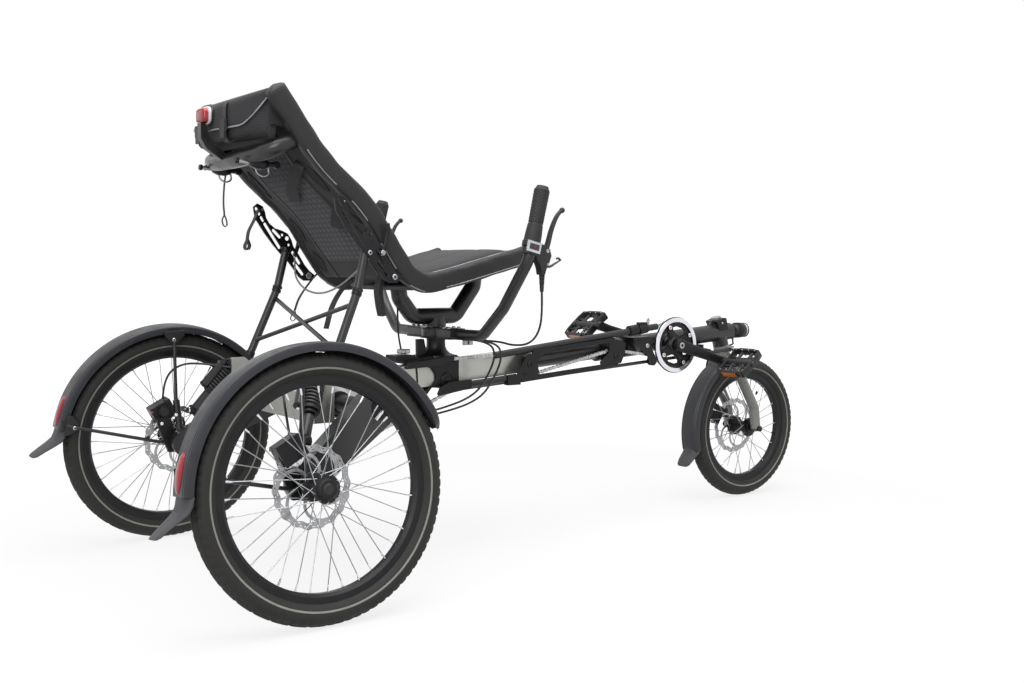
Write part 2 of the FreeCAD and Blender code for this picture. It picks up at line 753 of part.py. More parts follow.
# Stays between the fenders and the arm ends
stays = []
for side in (1, -1):
    skirtR = float(rearRadius) - 10
    upper = rod((-8, -33.5, skirtR), (-10, -60, 98), 4)
    socket = rod((-10, -60, 98), (-3, -76, 14), 8)
    tab = blockAt(-20, 4, -33.4, -31.3, skirtR - 12, skirtR + 24)
    rear = rod((-skirtR - 10, -35, 48), (-9, -71, -8), 4)
    rearTab = blockAt(-skirtR - 22, -skirtR, -33.4, -31.3, 38, 60)
    group = [onWheel(join([upper, socket, tab]), side), onWheel(join([rear, rearTab]), side)]
    stays += [stay.cut(swingarms[side]).cut(calipers[0 if side > 0 else 1]) for stay in group]
feature("fender_stays", Part.Compound(stays))

# Red reflectors on the fender tails
reflectors = []
for side in (1, -1):
    lensFoot = float(rearRadius) + float(fenderGap) + float(fenderThickness) + float(fitGap)
    lensFace = lensFoot + float(lensDepth)
    lens = [(lensFoot, -15), (lensFace, -15), (lensFace, 15), (lensFoot, 15)]
    points = [vec(r, a, 0) for r, a in lens]
    face = Part.Face(Part.makePolygon(points + [points[0]]))
    face.rotate(vec(0, 0, 0), vec(0, 1, 0), -162)
    reflectors.append(onWheel(face.revolve(vec(0, 0, 0), vec(0, 1, 0), -13), side))
feature("reflectors", Part.Compound(reflectors))

# Front caliper behind the left blade
frontCaliper = blockAt(64, 102, 26.3, 50, -24, 24).cut(
    blockAt(50, float(rotorRadius) + 3, float(frontFlange) + 3 - caliperSlot,
            float(frontFlange) + 3 + caliperSlot, -30, 30))
frontCaliper.rotate(vec(0, 0, 0), vec(0, 1, 0), -152)
frontCaliper.translate(vec(frontAxleX, 0, frontAxleZ))
link = blockAt(float(frontAxleX) - 60, float(frontAxleX) - 6, 42, 50, float(frontAxleZ) + 24,
               float(frontAxleZ) + 48)
feature("front_caliper", join([frontCaliper, link]).cut(forkShape))

# Drive: chainring with its guard ring, cranks and pedals
pitchRadius = float(chainPitch) / (2 * math.sin(math.pi / float(ringTeeth)))
toothRadius = pitchRadius - 5
disc = turned([(50, -1), (toothRadius, -1), (toothRadius, 1), (50, 1)])
spider = turned([(float(spindleRadius) + 0.5, -5), (20, -5), (20, 1), (float(spindleRadius) + 0.5, 1)])
arms = [Part.makeBox(46, 4, 15, vec(14, -5, -7.5)) for i in range(5)]
for i, arm in enumerate(arms):
    arm.rotate(vec(0, 0, 0), vec(0, 1, 0), 72 * i + 20)
ring = join([disc, spider, turned([(50, -6), (toothRadius, -6), (toothRadius, 1), (50, 1)])] + arms)
guardBack = -float(chainWidth) / 2 - 1
guardFace = guardBack - float(guardThickness)
guardInner = float(guardRadius) - float(guardWidth)
guard = turned([(guardInner, guardFace), (float(guardRadius), guardFace), (float(guardRadius), guardBack),
                (guardInner, guardBack)]).cut(ring)
feature("chainring", ring, (X(crankX), -float(ringY), ringZ))
feature("chain_guard", guard, (X(crankX), -float(ringY), ringZ))


def crankEnd(side):
    angle = math.radians(float(crankAngle))
    forward = float(crankLength) * (1 if side < 0 else -1)
    return vec(float(X(crankX)) + forward * math.cos(angle), side * float(crankY),
               ringZ - forward * math.sin(angle))


def makeCrank(side):
    end = crankEnd(side)
    start = vec(X(crankX), side * float(crankY), ringZ)
    thick = float(crankThickness)
    bossA = Part.makeCylinder(17, thick, start - vec(0, thick / 2, 0), vec(0, 1, 0))
    bossB = Part.makeCylinder(14, thick, end - vec(0, thick / 2, 0), vec(0, 1, 0))
    unit = end - start
    unit.normalize()
    up = vec(0, 1, 0).cross(unit)

    def section(point, d):
        corners = [point + up * (u * d) + vec(0, v * thick / 2, 0)
                   for u, v in ((-1, -1), (1, -1), (1, 1), (-1, 1))]
        return Part.makePolygon(corners + [corners[0]])
    bar = Part.makeLoft([section(start, 14), section(end, 11)], True, True)
    crank = join([bossA, bossB, bar])
    hole = Part.makeCylinder(float(pedalAxle) + float(runGap), 100, end - vec(0, 50, 0), vec(0, 1, 0))
    return crank.cut(hole)


spindle = Part.makeCylinder(float(spindleRadius), 2 * float(crankY) - float(crankThickness),
                            vec(X(crankX), -float(crankY) + float(crankThickness) / 2, ringZ), vec(0, 1, 0))
feature("crank_right", makeCrank(-1))
feature("crank_left", join([makeCrank(1), spindle]))


def makePedal(side):
    """A cage round its axle, tilted as it hangs."""
    end = crankEnd(side)
    half, w, tall = float(pedalLength) / 2, float(pedalWidth) / 2, float(pedalHeight)
    pieces = [Part.makeCylinder(9, 2 * half, vec(0, -half, 0), vec(0, 1, 0))]
    for x in (-w, w - 8):
        pieces.append(Part.makeBox(8, 2 * half, tall, vec(x, -half, -tall / 2)))
    for y in (-half, half - 8):
        pieces.append(Part.makeBox(2 * w, 8, tall, vec(-w, y, -tall / 2)))
    cage = join(pieces)
    cage.rotate(vec(0, 0, 0), vec(0, 1, 0), float(pedalTilt))
    cage.translate(vec(end.x, side * float(pedalY), end.z))
    inner = side * (float(crankY) - float(crankThickness) / 2 + 2)
    axle = Part.makeCylinder(float(pedalAxle), float(pedalY) - abs(inner), vec(end.x, inner, end.z),
                             vec(0, side, 0))
    return join([cage, axle])


feature("pedal_right", makePedal(-1))
feature("pedal_left", makePedal(1))


# Chain: one loop in a plane beside the frame, over the chainring, the sprocket and its guides
def tangents(a, b):
    """The ends of the straight run from circle a to circle b: (x, z, radius, sense) each, the sense
    +1 where the loop turns left round the circle and -1 where it turns right."""
    dx, dz = b[0] - a[0], b[1] - a[1]
    reach = math.hypot(dx, dz)
    lift = (a[2] * a[3] - b[2] * b[3]) / reach
    heading = math.atan2(dz, dx) + math.asin(lift)
    nx, nz = math.sin(heading), -math.cos(heading)
    return ((a[0] + nx * a[2] * a[3], a[1] + nz * a[2] * a[3]),
            (b[0] + nx * b[2] * b[3], b[1] + nz * b[2] * b[3]))


def loopWire(wheels, offset, y):
    """The closed line of a belt round the wheels, moved out by offset."""
    rounds = [(x, z, r + offset * s, s) for x, z, r, s in wheels]
    runs = [tangents(a, b) for a, b in zip(rounds, rounds[1:] + rounds[:1])]
    edges = []
    for i, (x, z, r, s) in enumerate(rounds):
        start, end = runs[i - 1][1], runs[i][0]
        first = math.atan2(start[1] - z, start[0] - x)
        last = math.atan2(end[1] - z, end[0] - x)
        turn = (last - first) * s % (2 * math.pi) * s
        middle = first + turn / 2
        edges.append(Part.Arc(vec(start[0], y, start[1]),
                              vec(x + r * math.cos(middle), y, z + r * math.sin(middle)),
                              vec(end[0], y, end[1])).toShape())
        edges.append(Part.LineSegment(vec(end[0], y, end[1]),
                                      vec(runs[i][1][0], y, runs[i][1][1])).toShape())
    return Part.Wire(edges)


ringCentre = (float(X(crankX)), ringZ)
sprocket = (float(X(pivotX)), float(pivotZ))
chainHalf = float(chainWidth) / 2
chainWheels = [(ringCentre[0], ringCentre[1], pitchRadius, 1),
               (float(X(1150)), 561, 60, -1), (float(X(626)), 505, 60, -1), (float(X(506)), 382, 60, 1),
               (sprocket[0], sprocket[1], float(sprocketRadius), 1),
               (float(X(232)), 300, 17, -1), (float(X(215)), 262, 17, 1),
               (float(X(545)), 318, 60, -1), (float(X(738)), 413, 20, 1), (float(X(1000)), 425, 20, -1),
               (float(X(1141)), 411, 14, -1)]
chainY = -float(ringY)
outerEdge, innerEdge = (Part.Face(loopWire(chainWheels, offset, chainY - chainHalf)).extrude(
    vec(0, 2 * chainHalf, 0)) for offset in (chainHalf, -chainHalf))
feature("chain", outerEdge.cut(innerEdge))

# Chain tube over the upper run
tubeFront, tubeRear = tangents(chainWheels[1], chainWheels[2])
tubeFront, tubeRear = vec(tubeFront[0], chainY, tubeFront[1]), vec(tubeRear[0], chainY, tubeRear[1])
lowRear, lowFront = tangents(chainWheels[7], chainWheels[8])
lowRear, lowFront = vec(lowRear[0], chainY, lowRear[1]), vec(lowFront[0], chainY, lowFront[1])
lowFront = lowRear + (lowFront - lowRear) * 0.78
chainTubes = [rod(a, b, chainTubeRadius).cut(rod(a, b, chainTubeBore))
              for a, b in ((tubeFront, tubeRear), (lowRear, lowFront))]
feature("chain_tubes", Part.Compound(chainTubes))


# Guide wheels: a spool under the chain, seen from the side as a disc with two flanges
def guideWheel(x, z, radius, bore):
    core = radius - chainHalf - float(fitGap)
    cheek = chainHalf + float(fitGap)
    spool = turned([(bore, -cheek - 1.5), (radius - 1, -cheek - 1.5), (radius - 1, -cheek), (core, -cheek),
                    (core, cheek), (radius - 1, cheek), (radius - 1, cheek + 1.5), (bore, cheek + 1.5)])
    spool.translate(vec(x, chainY, z))
    return spool


guideBolt = 4
guides = [guideWheel(x, z, radius, guideBolt + 0.05) for x, z, radius, sense in chainWheels[8:11]]

# Chain adjuster: a lattice plate outside the chain, carried by a clamp on the tube and two on the boom
plateOut, plateIn = -56.5, -53.5
innerOut, innerIn = -39, -36
rearWheelAt, frontWheelAt, lastWheelAt = [vec(x, 0, z) for x, z, radius, sense in chainWheels[8:11]]


def atX(points):
    return [(X(x), z) for x, z in points]


lattice = [plateXZ(atX([(693, 403), (694, 393), (713, 377), (738, 390), (760, 398), (752, 425), (778, 447),
                        (727, 446)]), plateOut, plateIn),
           plateXZ(atX([(740, 443), (1003, 466), (1003, 477), (740, 455)]), plateOut, -51.2),
           plateXZ(atX([(706, 377), (970, 398), (970, 410), (706, 390)]), plateOut, -51.2),
           plateXZ(atX([(1010, 472), (1039, 462), (1037, 436), (1025, 411), (961, 397), (954, 416), (984, 438),
                        (984, 468)]), plateOut, plateIn)]
for wheel in (rearWheelAt, frontWheelAt):
    lattice.append(Part.makeCylinder(guideBolt, innerIn - plateOut,
                                     vec(wheel.x, plateOut, wheel.z), vec(0, 1, 0)))
    lattice.append(Part.makeCylinder(12, innerIn - innerOut, vec(wheel.x, innerOut, wheel.z), vec(0, 1, 0)))
sideFace = -float(tubeWidth) / 2 - float(fitGap)
lattice.append(blockAt(X(724), X(754), innerOut, sideFace, 402, 436))
ringOuter = Part.makeCylinder(float(boomRadius) + 6, 36, boomPoint(1000) - boomDirection * 18, boomDirection)
lattice.append(ringOuter)
lattice.append(blockAt(X(988), X(1014), innerOut, -10, 418, 440))
endClamp = [Part.makeCylinder(float(boomRadius) + 6, 60, boomPoint(1100) - boomDirection * 30, boomDirection),
            plateXZ(atX([(1065, 475), (1122, 476), (1135, 432), (1108, 432), (1073, 459)]), plateOut, -20),
            plateXZ(atX([(1106, 440), (1134, 440), (1150, 412), (1141, 401), (1128, 406)]), plateOut, plateIn),
            Part.makeCylinder(guideBolt, -40.2 - plateOut, vec(lastWheelAt.x, plateOut, lastWheelAt.z),
                              vec(0, 1, 0)),
            blockAt(X(1112), X(1134), innerOut, -10, 432, 445)]
adjuster = [join(lattice), join(endClamp)]
boomGap = Part.makeCylinder(float(boomRadius) + float(fitGap), 600, boomPoint(800), boomDirection)
chainGap = (Part.Face(loopWire(chainWheels, 6, chainY - 5)).extrude(vec(0, 10, 0))).cut(
    Part.Face(loopWire(chainWheels, -6, chainY - 5)).extrude(vec(0, 10, 0)))
tubeGap = Part.Compound([rod(a, b, float(chainTubeRadius) + float(fitGap))
                         for a, b in ((tubeFront, tubeRear), (lowRear, lowFront))])
adjuster = [shape.cut(boomGap).cut(chainGap).cut(tubeGap).cut(Part.Compound(guides)) for shape in adjuster]
feature("chain_adjuster", Part.Compound(adjuster))

# Derailleur: a cage with two wheels, hung from a plate on the pivot tube
cageWheels = chainWheels[5:7]
derailleurWheels = [guideWheel(x, z, radius, guideBolt + 0.05) for x, z, radius, sense in cageWheels]
feature("guide_wheels", Part.Compound(guides + derailleurWheels))
(ax, az), (bx, bz) = [(x, z) for x, z, radius, sense in cageWheels]
cage = []
for y0, y1 in ((chainY - 9.5, chainY - 7), (chainY + 7, chainY + 9.5)):
    slope = vec(bx - ax, 0, bz - az).normalize()
    wide = vec(slope.z, 0, -slope.x) * 9
    ends = [vec(ax, 0, az) + wide, vec(ax, 0, az) - wide, vec(bx, 0, bz) - wide, vec(bx, 0, bz) + wide]
    cage.append(plateXZ([(e.x, e.z) for e in ends], y0, y1))
    cage += [Part.makeCylinder(9, y1 - y0, vec(x, y0, z), vec(0, 1, 0)) for x, z in ((ax, az), (bx, bz))]
cage += [Part.makeCylinder(guideBolt, 19, vec(x, chainY - 9.5, z), vec(0, 1, 0)) for x, z in ((ax, az), (bx, bz))]
hanger = [Part.makeCylinder(25, 5, vec(X(pivotX), chainY - 33, pivotZ), vec(0, 1, 0)),
          plateXZ([(X(pivotX) - 14, 350), (X(pivotX) + 20, 350), (ax + 10, az), (ax - 10, az)],
                  chainY - 33, chainY - 28),
          Part.makeCylinder(10, 24, vec(ax, chainY - 33, az), vec(0, 1, 0))]
feature("derailleur", join(cage + hanger).cut(pivotHole).cut(Part.Compound(derailleurWheels)))

# Sprockets beside the main tube on the pivot tube
stack = []
for i in range(5):
    radius = float(sprocketRadius) - chainHalf - 1 - 3 * abs(i)
    stack.append(Part.makeCylinder(radius, 2.5, vec(X(pivotX), chainY - 1.2 - 5 * i, float(pivotZ)), vec(0, 1, 0)))
stack.append(Part.makeCylinder(24, 26, vec(X(pivotX), chainY - 24, float(pivotZ)), vec(0, 1, 0)))
feature("sprockets", join(stack).cut(pivotHole))


# Steering bar: a plate on the column's top, two bent bars and the two grips
plateLow = float(postTopZ) + 1
plateShape = join([
    Part.makeCylinder(34, float(barPlateThickness), vec(X(postX), 0, plateLow)),
    blockAt(X(postX - 20), X(postX + 20), -95, 95, plateLow, plateLow + float(barPlateThickness))])


def gripAxis(side):
    low = vec(X(519), side * float(gripY), 703)
    high = vec(X(547), side * float(gripY), 823)
    return low, high


bars = []
barPlane = plateLow + float(barPlateThickness) / 2
for side in (1, -1):
    low, high = gripAxis(side)
    bars.append(tube([(X(500), side * 60, barPlane), (X(500), side * 190, barPlane + 2),
                      (X(506), side * 262, 566), (X(512), side * float(gripY), 672),
                      (low.x, low.y, low.z), (high.x, high.y, high.z)], barRadius, 40))
barShape = join([plateShape] + bars).cut(Part.makeCylinder(float(columnRadius), 200, vec(X(postX), 0, plateLow - 20)))
feature("steering_bar", barShape)

grips = []
for side in (1, -1):
    low, high = gripAxis(side)
    along = high - low
    length = along.Length
    along.normalize()
    outer = Part.makeCylinder(float(gripRadius), length + 4, low, along)
    bore = Part.makeCylinder(float(barRadius), length, low, along)
    grips.append(outer.cut(bore))
feature("grips", Part.Compound(grips))

levers = []
for side in (1, -1):
    low, high = gripAxis(side)
    y = side * float(gripY)
    body = blockAt(low.x + 18, low.x + 44, y - 9, y + 9, 640, 690)
    clamp = Part.makeCylinder(20, 16, low - (high - low).normalize() * 22, high - low)
    blade = tube([(low.x + 34, y, 684), (low.x + 52, y, 735), (low.x + 86, y, 780)], 6, 0.4)
    levers.append(join([body, blockAt(low.x, low.x + 20, y - 8, y + 8, 684, 698).common(
        blockAt(low.x, low.x + 30, y - 9, y + 9, 600, 800)), blade, clamp]).cut(barShape))
feature("brake_levers", Part.Compound(levers))

# Steering column through the post, with the arm of the tie rod under the housing
armLow = bodyLow - 1 - float(armThickness)
eyeDrop = 7.0
rodRear = vec(X(postX), -float(linkArm), armLow - eyeDrop)
columnTop = plateLow + float(barPlateThickness) + 16
column = join([
    Part.makeCylinder(float(columnRadius), columnTop - armLow, vec(X(postX), 0, armLow)),
    Part.makeCylinder(16, float(armThickness), vec(X(postX), 0, armLow)),
    blockAt(X(postX - 8), X(postX + 8), -float(linkArm), 0, armLow, armLow + float(armThickness)),
    Part.makeCylinder(8, float(armThickness), vec(X(postX), -float(linkArm), armLow)),
    Part.makeCylinder(float(pinRadius), eyeDrop + 7, vec(X(postX), -float(linkArm), armLow - eyeDrop - 6))])
feature("steering_column", column)


def eye(centre, clearance):
    ring = Part.makeCylinder(9.5, 7, centre - vec(0, 0, 3.5))
    return ring, Part.makeCylinder(float(pinRadius) + clearance, 20, centre - vec(0, 0, 10))


rearEye, rearHole = eye(rodRear, float(runGap))
frontEye, frontHole = eye(rodFront, 2)
rodAlong = (rodFront - rodRear).normalize()
shaft = rod(rodRear + rodAlong * 7, rodFront - rodAlong * 7, rodRadius)
feature("tie_rod", join([rearEye, shaft, frontEye]).cut(rearHole).cut(frontHole))


# Seat: side rails, mesh back, base and cushion
railPath = [(12, 1000), (112, 862), (208, 785), (306, 640), (352, 618), (430, 634), (622, 684)]


def sidePlate(path, half, thickness):
    """A sheet of constant thickness that follows a path of the side view, from -half to half."""
    return sectionSweep([(X(x), 0, z) for x, z in path], 2 * half, thickness)


def sectionSweep(points, wide, deep):
    """A bar of rectangular section along a path, its width across the vehicle."""
    wire = route(points, 0.45)
    a, b = vec(*points[0]), vec(*points[1])
    along = b - a
    along.normalize()
    across = vec(0, 1, 0).cross(along)
    corners = [a + vec(0, u * wide / 2, 0) + across * (v * deep / 2)
               for u, v in ((-1, -1), (1, -1), (1, 1), (-1, 1))]
    return sweep(Part.makePolygon(corners + [corners[0]]), wire)


rails = [sectionSweep([(X(x), side * float(railY), z) for x, z in railPath], float(railWidth),
                      float(railDepth)) for side in (1, -1)]
inside = float(railY) - float(railWidth) / 2
topBar = blockAt(X(12), X(40), -inside, inside, 962, 996)
railShape = join(rails + [topBar])
feature("seat_rails", railShape)

inside = inside - float(fitGap)
meshShape = sidePlate([(34, 950), (100, 856), (196, 775), (296, 632)], inside, float(meshThickness))
feature("seat_back_mesh", meshShape)
baseShape = sidePlate([(345, 606), (430, 622), (610, 669)], inside, float(baseThickness))
feature("seat_base", baseShape)
lift = float(baseThickness) / 2 + float(fitGap) + float(cushionDepth) / 2
cushion = sidePlate([(364, 609.6 + lift), (430, 622.3 + lift), (592, 664.6 + lift)], inside - 4,
                    float(cushionDepth))
feature("seat_cushion", cushion)

# Seat carrier: a bent tube between the post's top block and the seat base
seatSpace = plateXZ([(X(330), 599.8), (X(430), 618.5), (X(640), 673.3), (X(640), 900), (X(330), 900)],
                    -250, 250)
carrierTube = tube([(X(390), 0, 640), (X(398), 0, 584), (X(432), 0, 541), (X(548), 0, 541),
                    (X(600), 0, 610), (X(612), 0, 690)], 19, 24)
blockLow = plateLow + float(barPlateThickness) + 5
block = Part.makeCylinder(24, 541 - blockLow, vec(X(postX), 0, blockLow))
blockBore = Part.makeCylinder(float(columnRadius) + float(runGap), columnTop + 1 - blockLow + 5,
                              vec(X(postX), 0, blockLow - 5))
feature("seat_carrier", join([carrierTube, block]).cut(seatSpace).cut(blockBore))

# Seat struts with their cross brace
strutShapes = []
for side in (1, -1):
    strutShapes.append(tube([(X(207), side * 196, 700), (X(184), side * 198, 604),
                             (X(118), side * 209, 447 + 1)], strutRadius, 120))
braces = [rod((X(180), side * 192, 579), (X(132), -side * 198, 486), braceRadius) for side in (1, -1)]
strutShape = join(strutShapes + braces)
feature("seat_struts", strutShape)

# Hinge plates between the struts and the rails, outside the rails
plates = []
for side in (1, -1):
    y0 = side * (float(railY) + float(railWidth) / 2 + float(fitGap))
    y1 = y0 + side * 6
    y0, y1 = sorted((y0, y1))
    plates.append(plateXZ([(X(200), 674), (X(222), 662), (X(258), 620), (X(284), 634), (X(262), 684),
                           (X(214), 696)], y0, y1).cut(strutShape))
    plates.append(plateXZ([(X(125), 780), (X(134), 798), (X(168), 782), (X(206), 745), (X(236), 712),
                           (X(214), 697), (X(196), 694), (X(158), 724)], y0, y1).cut(strutShape))
feature("seat_hinges", Part.Compound(plates))

# Carrying loop behind the head end
loop = tube([(X(66), -170, 911), (X(14), -158, 885), (X(-10), -70, 873), (X(-10), 70, 873),
             (X(14), 158, 885), (X(66), 170, 911)], loopRadius, 0.45)
lampArm = plateXZ(atX([(-72, 944.5), (-60, 944.5), (-50, 908), (-16, 886), (-16, 866), (-60, 895), (-72, 915)]), -9, 9)
feature("rear_loop", join([loop, lampArm]).cut(railShape).cut(meshShape))

# Head bag: a pouch that bulges to the rear, its front along the top bar
bagPlan = [(11.7, -158), (0, -158), (-24, -124), (-42, -64), (-47, 0), (-42, 64), (-24, 124), (0, 158), (11.7, 158)]
bagPoints = [vec(X(x), y, 890) for x, y in bagPlan]
bagPrism = Part.Face(Part.makePolygon(bagPoints + [bagPoints[0]])).extrude(vec(0, 0, 140))
bagSide = plateXZ(atX([(-60, 908), (-20, 918), (12, 930), (12, 1002), (-60, 978)]), -170, 170)
bag = bagPrism.common(bagSide)
feature("head_bag", bag.cut(loop))
lamp = blockAt(X(-72), X(-47.3), -22, 22, 945, 978)
feature("rear_light", lamp)

# Brake hoses: from the levers to the bar plate, and on past the pivot along the frame
hoseRadius = 2.5
leverHoses = []
for side in (1, -1):
    y = side * float(gripY)
    leverHoses.append(tube([(X(546), y, 639), (X(548), y, 548), (X(560), y - side * 36, 512),
                            (X(574), side * 190, 486), (X(560), side * 84, 496), (X(517), side * 62, 500)],
                           hoseRadius, 0.4))
feature("lever_hoses", Part.Compound(leverHoses))
frameHoses = []
frameHoses.append(tube([(X(532), -50, 477), (X(588), -54, 472), (X(578), -60, 410), (X(540), -62, 348),
                        (X(450), -64, 325), (X(330), -68, 312), (X(222), -71.3, 330)], hoseRadius, 0.42))
frameHoses.append(tube([(X(532), -60, 477), (X(596), -62, 470), (X(586), -68, 406), (X(546), -70, 338),
                        (X(450), -76, 318), (X(330), -100, 318), (X(250), -150, 324), (X(212), -170, 342)],
                       hoseRadius, 0.42))
for side in (1, -1):
    caliperTop = float(rearAxleZ) + 95.2
    frameHoses.append(tube([(X(-38), side * 350, caliperTop), (X(-40), side * 335, caliperTop + 50),
                            (X(-20), side * 280, 432),
                            (X(20), side * 230, 434), (X(71), side * 201, 425)], hoseRadius, 0.42).cut(crossMember))
feature("frame_hoses", Part.Compound(frameHoses))
frontHose = tube([(frontAxleX - 60, 46, 262), (frontAxleX - 88, 50, 330), (frontAxleX - 120, 34, 392),
                  (frontAxleX - 110, 18, 412)], hoseRadius, 0.42)
feature("fork_hose", frontHose.cut(forkShape).cut(boom))
lampZ = boomPoint(float(boomFrontX)).z
headlight = Part.makeCylinder(19, 44, vec(X(boomFrontX + 18), 0, lampZ + 4), vec(1, 0, 0))
bracket = blockAt(X(boomFrontX) + 0.3, X(boomFrontX) + 20, -8, 8, lampZ - 6, lampZ + 10)
feature("headlight", join([headlight, bracket]).cut(boom))

doc.recompute()

os.makedirs("parts", exist_ok=True)
for old in os.listdir("parts"):
    if old.endswith(".step"):
        os.remove(os.path.join("parts", old))
for obj in doc.Objects:
    if "Invalid" in obj.State or "Error" in obj.State:
        raise RuntimeError("%s failed: %s" % (obj.Label, obj.State))
for obj in parts:
    if obj.Shape.isNull() or not obj.Shape.isValid():
        raise RuntimeError(obj.Label + " has no valid shape")
    obj.Shape.exportStep("parts/%s.step" % obj.Label)
print(len(parts), "parts", "ringZ %.3f" % ringZ, "rodRear", tuple(rodRear), "rodFront", tuple(rodFront),
      "head", tuple(headFoot), "rearAxle", float(rearAxleX), float(rearAxleZ),
      "pedals", tuple(crankEnd(1)), tuple(crankEnd(-1)))
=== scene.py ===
import json
import math

import bmesh
import bpy
from mathutils import Matrix, Vector

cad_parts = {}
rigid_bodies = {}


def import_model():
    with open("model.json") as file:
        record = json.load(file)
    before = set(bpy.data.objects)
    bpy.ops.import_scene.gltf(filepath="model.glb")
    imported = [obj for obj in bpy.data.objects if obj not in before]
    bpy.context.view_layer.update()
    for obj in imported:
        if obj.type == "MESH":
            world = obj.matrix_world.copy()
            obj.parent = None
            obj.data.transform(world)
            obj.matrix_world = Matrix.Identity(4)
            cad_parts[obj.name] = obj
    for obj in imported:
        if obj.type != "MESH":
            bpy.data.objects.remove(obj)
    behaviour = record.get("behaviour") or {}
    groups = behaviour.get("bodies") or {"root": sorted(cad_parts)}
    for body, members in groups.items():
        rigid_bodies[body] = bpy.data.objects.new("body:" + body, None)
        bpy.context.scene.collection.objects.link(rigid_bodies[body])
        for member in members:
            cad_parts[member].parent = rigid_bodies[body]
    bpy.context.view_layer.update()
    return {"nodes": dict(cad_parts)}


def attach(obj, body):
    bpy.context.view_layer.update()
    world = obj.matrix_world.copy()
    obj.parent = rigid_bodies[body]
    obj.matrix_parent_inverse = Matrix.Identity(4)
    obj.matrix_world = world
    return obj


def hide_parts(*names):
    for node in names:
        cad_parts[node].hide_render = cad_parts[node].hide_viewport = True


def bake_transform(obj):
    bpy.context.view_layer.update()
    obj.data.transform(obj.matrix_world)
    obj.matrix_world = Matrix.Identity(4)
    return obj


# Recumbent tricycle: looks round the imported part. Lengths in the dictionaries are millimetres, where no
# comment says metres. x is counted forward from the rear axle, y to the rider's left, z up from the floor.

scene = bpy.context.scene
for thing in list(bpy.data.objects):
    bpy.data.objects.remove(thing)

rearAxleX = -710.0
xAxis, yAxis, zAxis = Vector((1, 0, 0)), Vector((0, 1, 0)), Vector((0, 0, 1))


def spot(x, y, z):
    return Vector(((rearAxleX + x) / 1000, y / 1000, z / 1000))


# Camera: stands at the photograph's place, a little above the seat and behind on the right side
cameraView = {"place": (-1630.8, -2286.4, 650.3), "yaw": 54.39, "pitch": -3.6, "roll": 0.26, "lens": 40.1}


def makeCamera():
    yaw, pitch, roll = (math.radians(cameraView[k]) for k in ("yaw", "pitch", "roll"))
    ahead = Vector((math.cos(yaw) * math.cos(pitch), math.sin(yaw) * math.cos(pitch), math.sin(pitch)))
    right = Vector((math.sin(yaw), -math.cos(yaw), 0))
    up = right.cross(ahead)
    side = right * math.cos(roll) + up * math.sin(roll)
    top = up * math.cos(roll) - right * math.sin(roll)
    data = bpy.data.cameras.new("photoCamera")
    data.lens = cameraView["lens"]
    data.sensor_width = 36
    data.clip_start, data.clip_end = 0.05, 60
    camera = bpy.data.objects.new("photoCamera", data)
    scene.collection.objects.link(camera)
    turn = Matrix((side, top, -ahead)).transposed()
    camera.matrix_world = Matrix.Translation(Vector(cameraView["place"]) / 1000) @ turn.to_4x4()
    scene.camera = camera


makeCamera()
print("camera placed")

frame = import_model()
nodes = frame["nodes"]
print("frame loaded")


# Colours and nodes
def colour(code):
    parts = [int(code[i:i + 2], 16) / 255 for i in (1, 3, 5)]
    return tuple(c / 12.92 if c <= 0.04045 else ((c + 0.055) / 1.055) ** 2.4 for c in parts) + (1.0,)


def addNode(tree, kind, values=None, links=None, **settings):
    node = tree.nodes.new(kind)
    for name, value in settings.items():
        setattr(node, name, value)
    for socket, value in (values or {}).items():
        node.inputs[socket].default_value = value
    for socket, source in (links or {}).items():
        tree.links.new(source, node.inputs[socket])
    return node


def newMaterial(name):
    made = bpy.data.materials.new(name)
    made.use_nodes = True
    tree = made.node_tree
    tree.nodes.clear()
    return made, tree


def finishMaterial(name, dark, light, roughness, grain, depth, metallic=0.0, coat=0.0, sheen=0.0,
                   spread=0.12, ior=1.5):
    made, tree = newMaterial(name)
    place = addNode(tree, "ShaderNodeTexCoord")
    cloud = addNode(tree, "ShaderNodeTexNoise", {"Scale": 22, "Detail": 4, "Roughness": 0.6},
                    {"Vector": place.outputs["Object"]})
    fine = addNode(tree, "ShaderNodeTexNoise", {"Scale": 1000 / grain, "Detail": 3, "Roughness": 0.55},
                   {"Vector": place.outputs["Object"]})
    ramp = addNode(tree, "ShaderNodeValToRGB", links={"Fac": cloud.outputs["Fac"]})
    ramp.color_ramp.elements[0].position = 0.3
    ramp.color_ramp.elements[0].color = colour(dark)
    ramp.color_ramp.elements[1].position = 0.7
    ramp.color_ramp.elements[1].color = colour(light)
    rough = addNode(tree, "ShaderNodeMapRange", {"From Min": 0.3, "From Max": 0.7,
                    "To Min": max(0.03, roughness - spread), "To Max": min(1, roughness + spread)},
                    {"Value": cloud.outputs["Fac"]})
    bump = addNode(tree, "ShaderNodeBump", {"Strength": 0.5, "Distance": depth / 1000},
                   {"Height": fine.outputs["Fac"]})
    shader = addNode(tree, "ShaderNodeBsdfPrincipled",
                     {"Metallic": metallic, "IOR": ior, "Coat Weight": coat, "Coat Roughness": 0.12,
                      "Sheen Weight": sheen, "Sheen Roughness": 0.5},
                     {"Base Color": ramp.outputs["Color"], "Roughness": rough.outputs["Result"],
                      "Normal": bump.outputs["Normal"]})
    addNode(tree, "ShaderNodeOutputMaterial", links={"Surface": shader.outputs["BSDF"]})
    return made


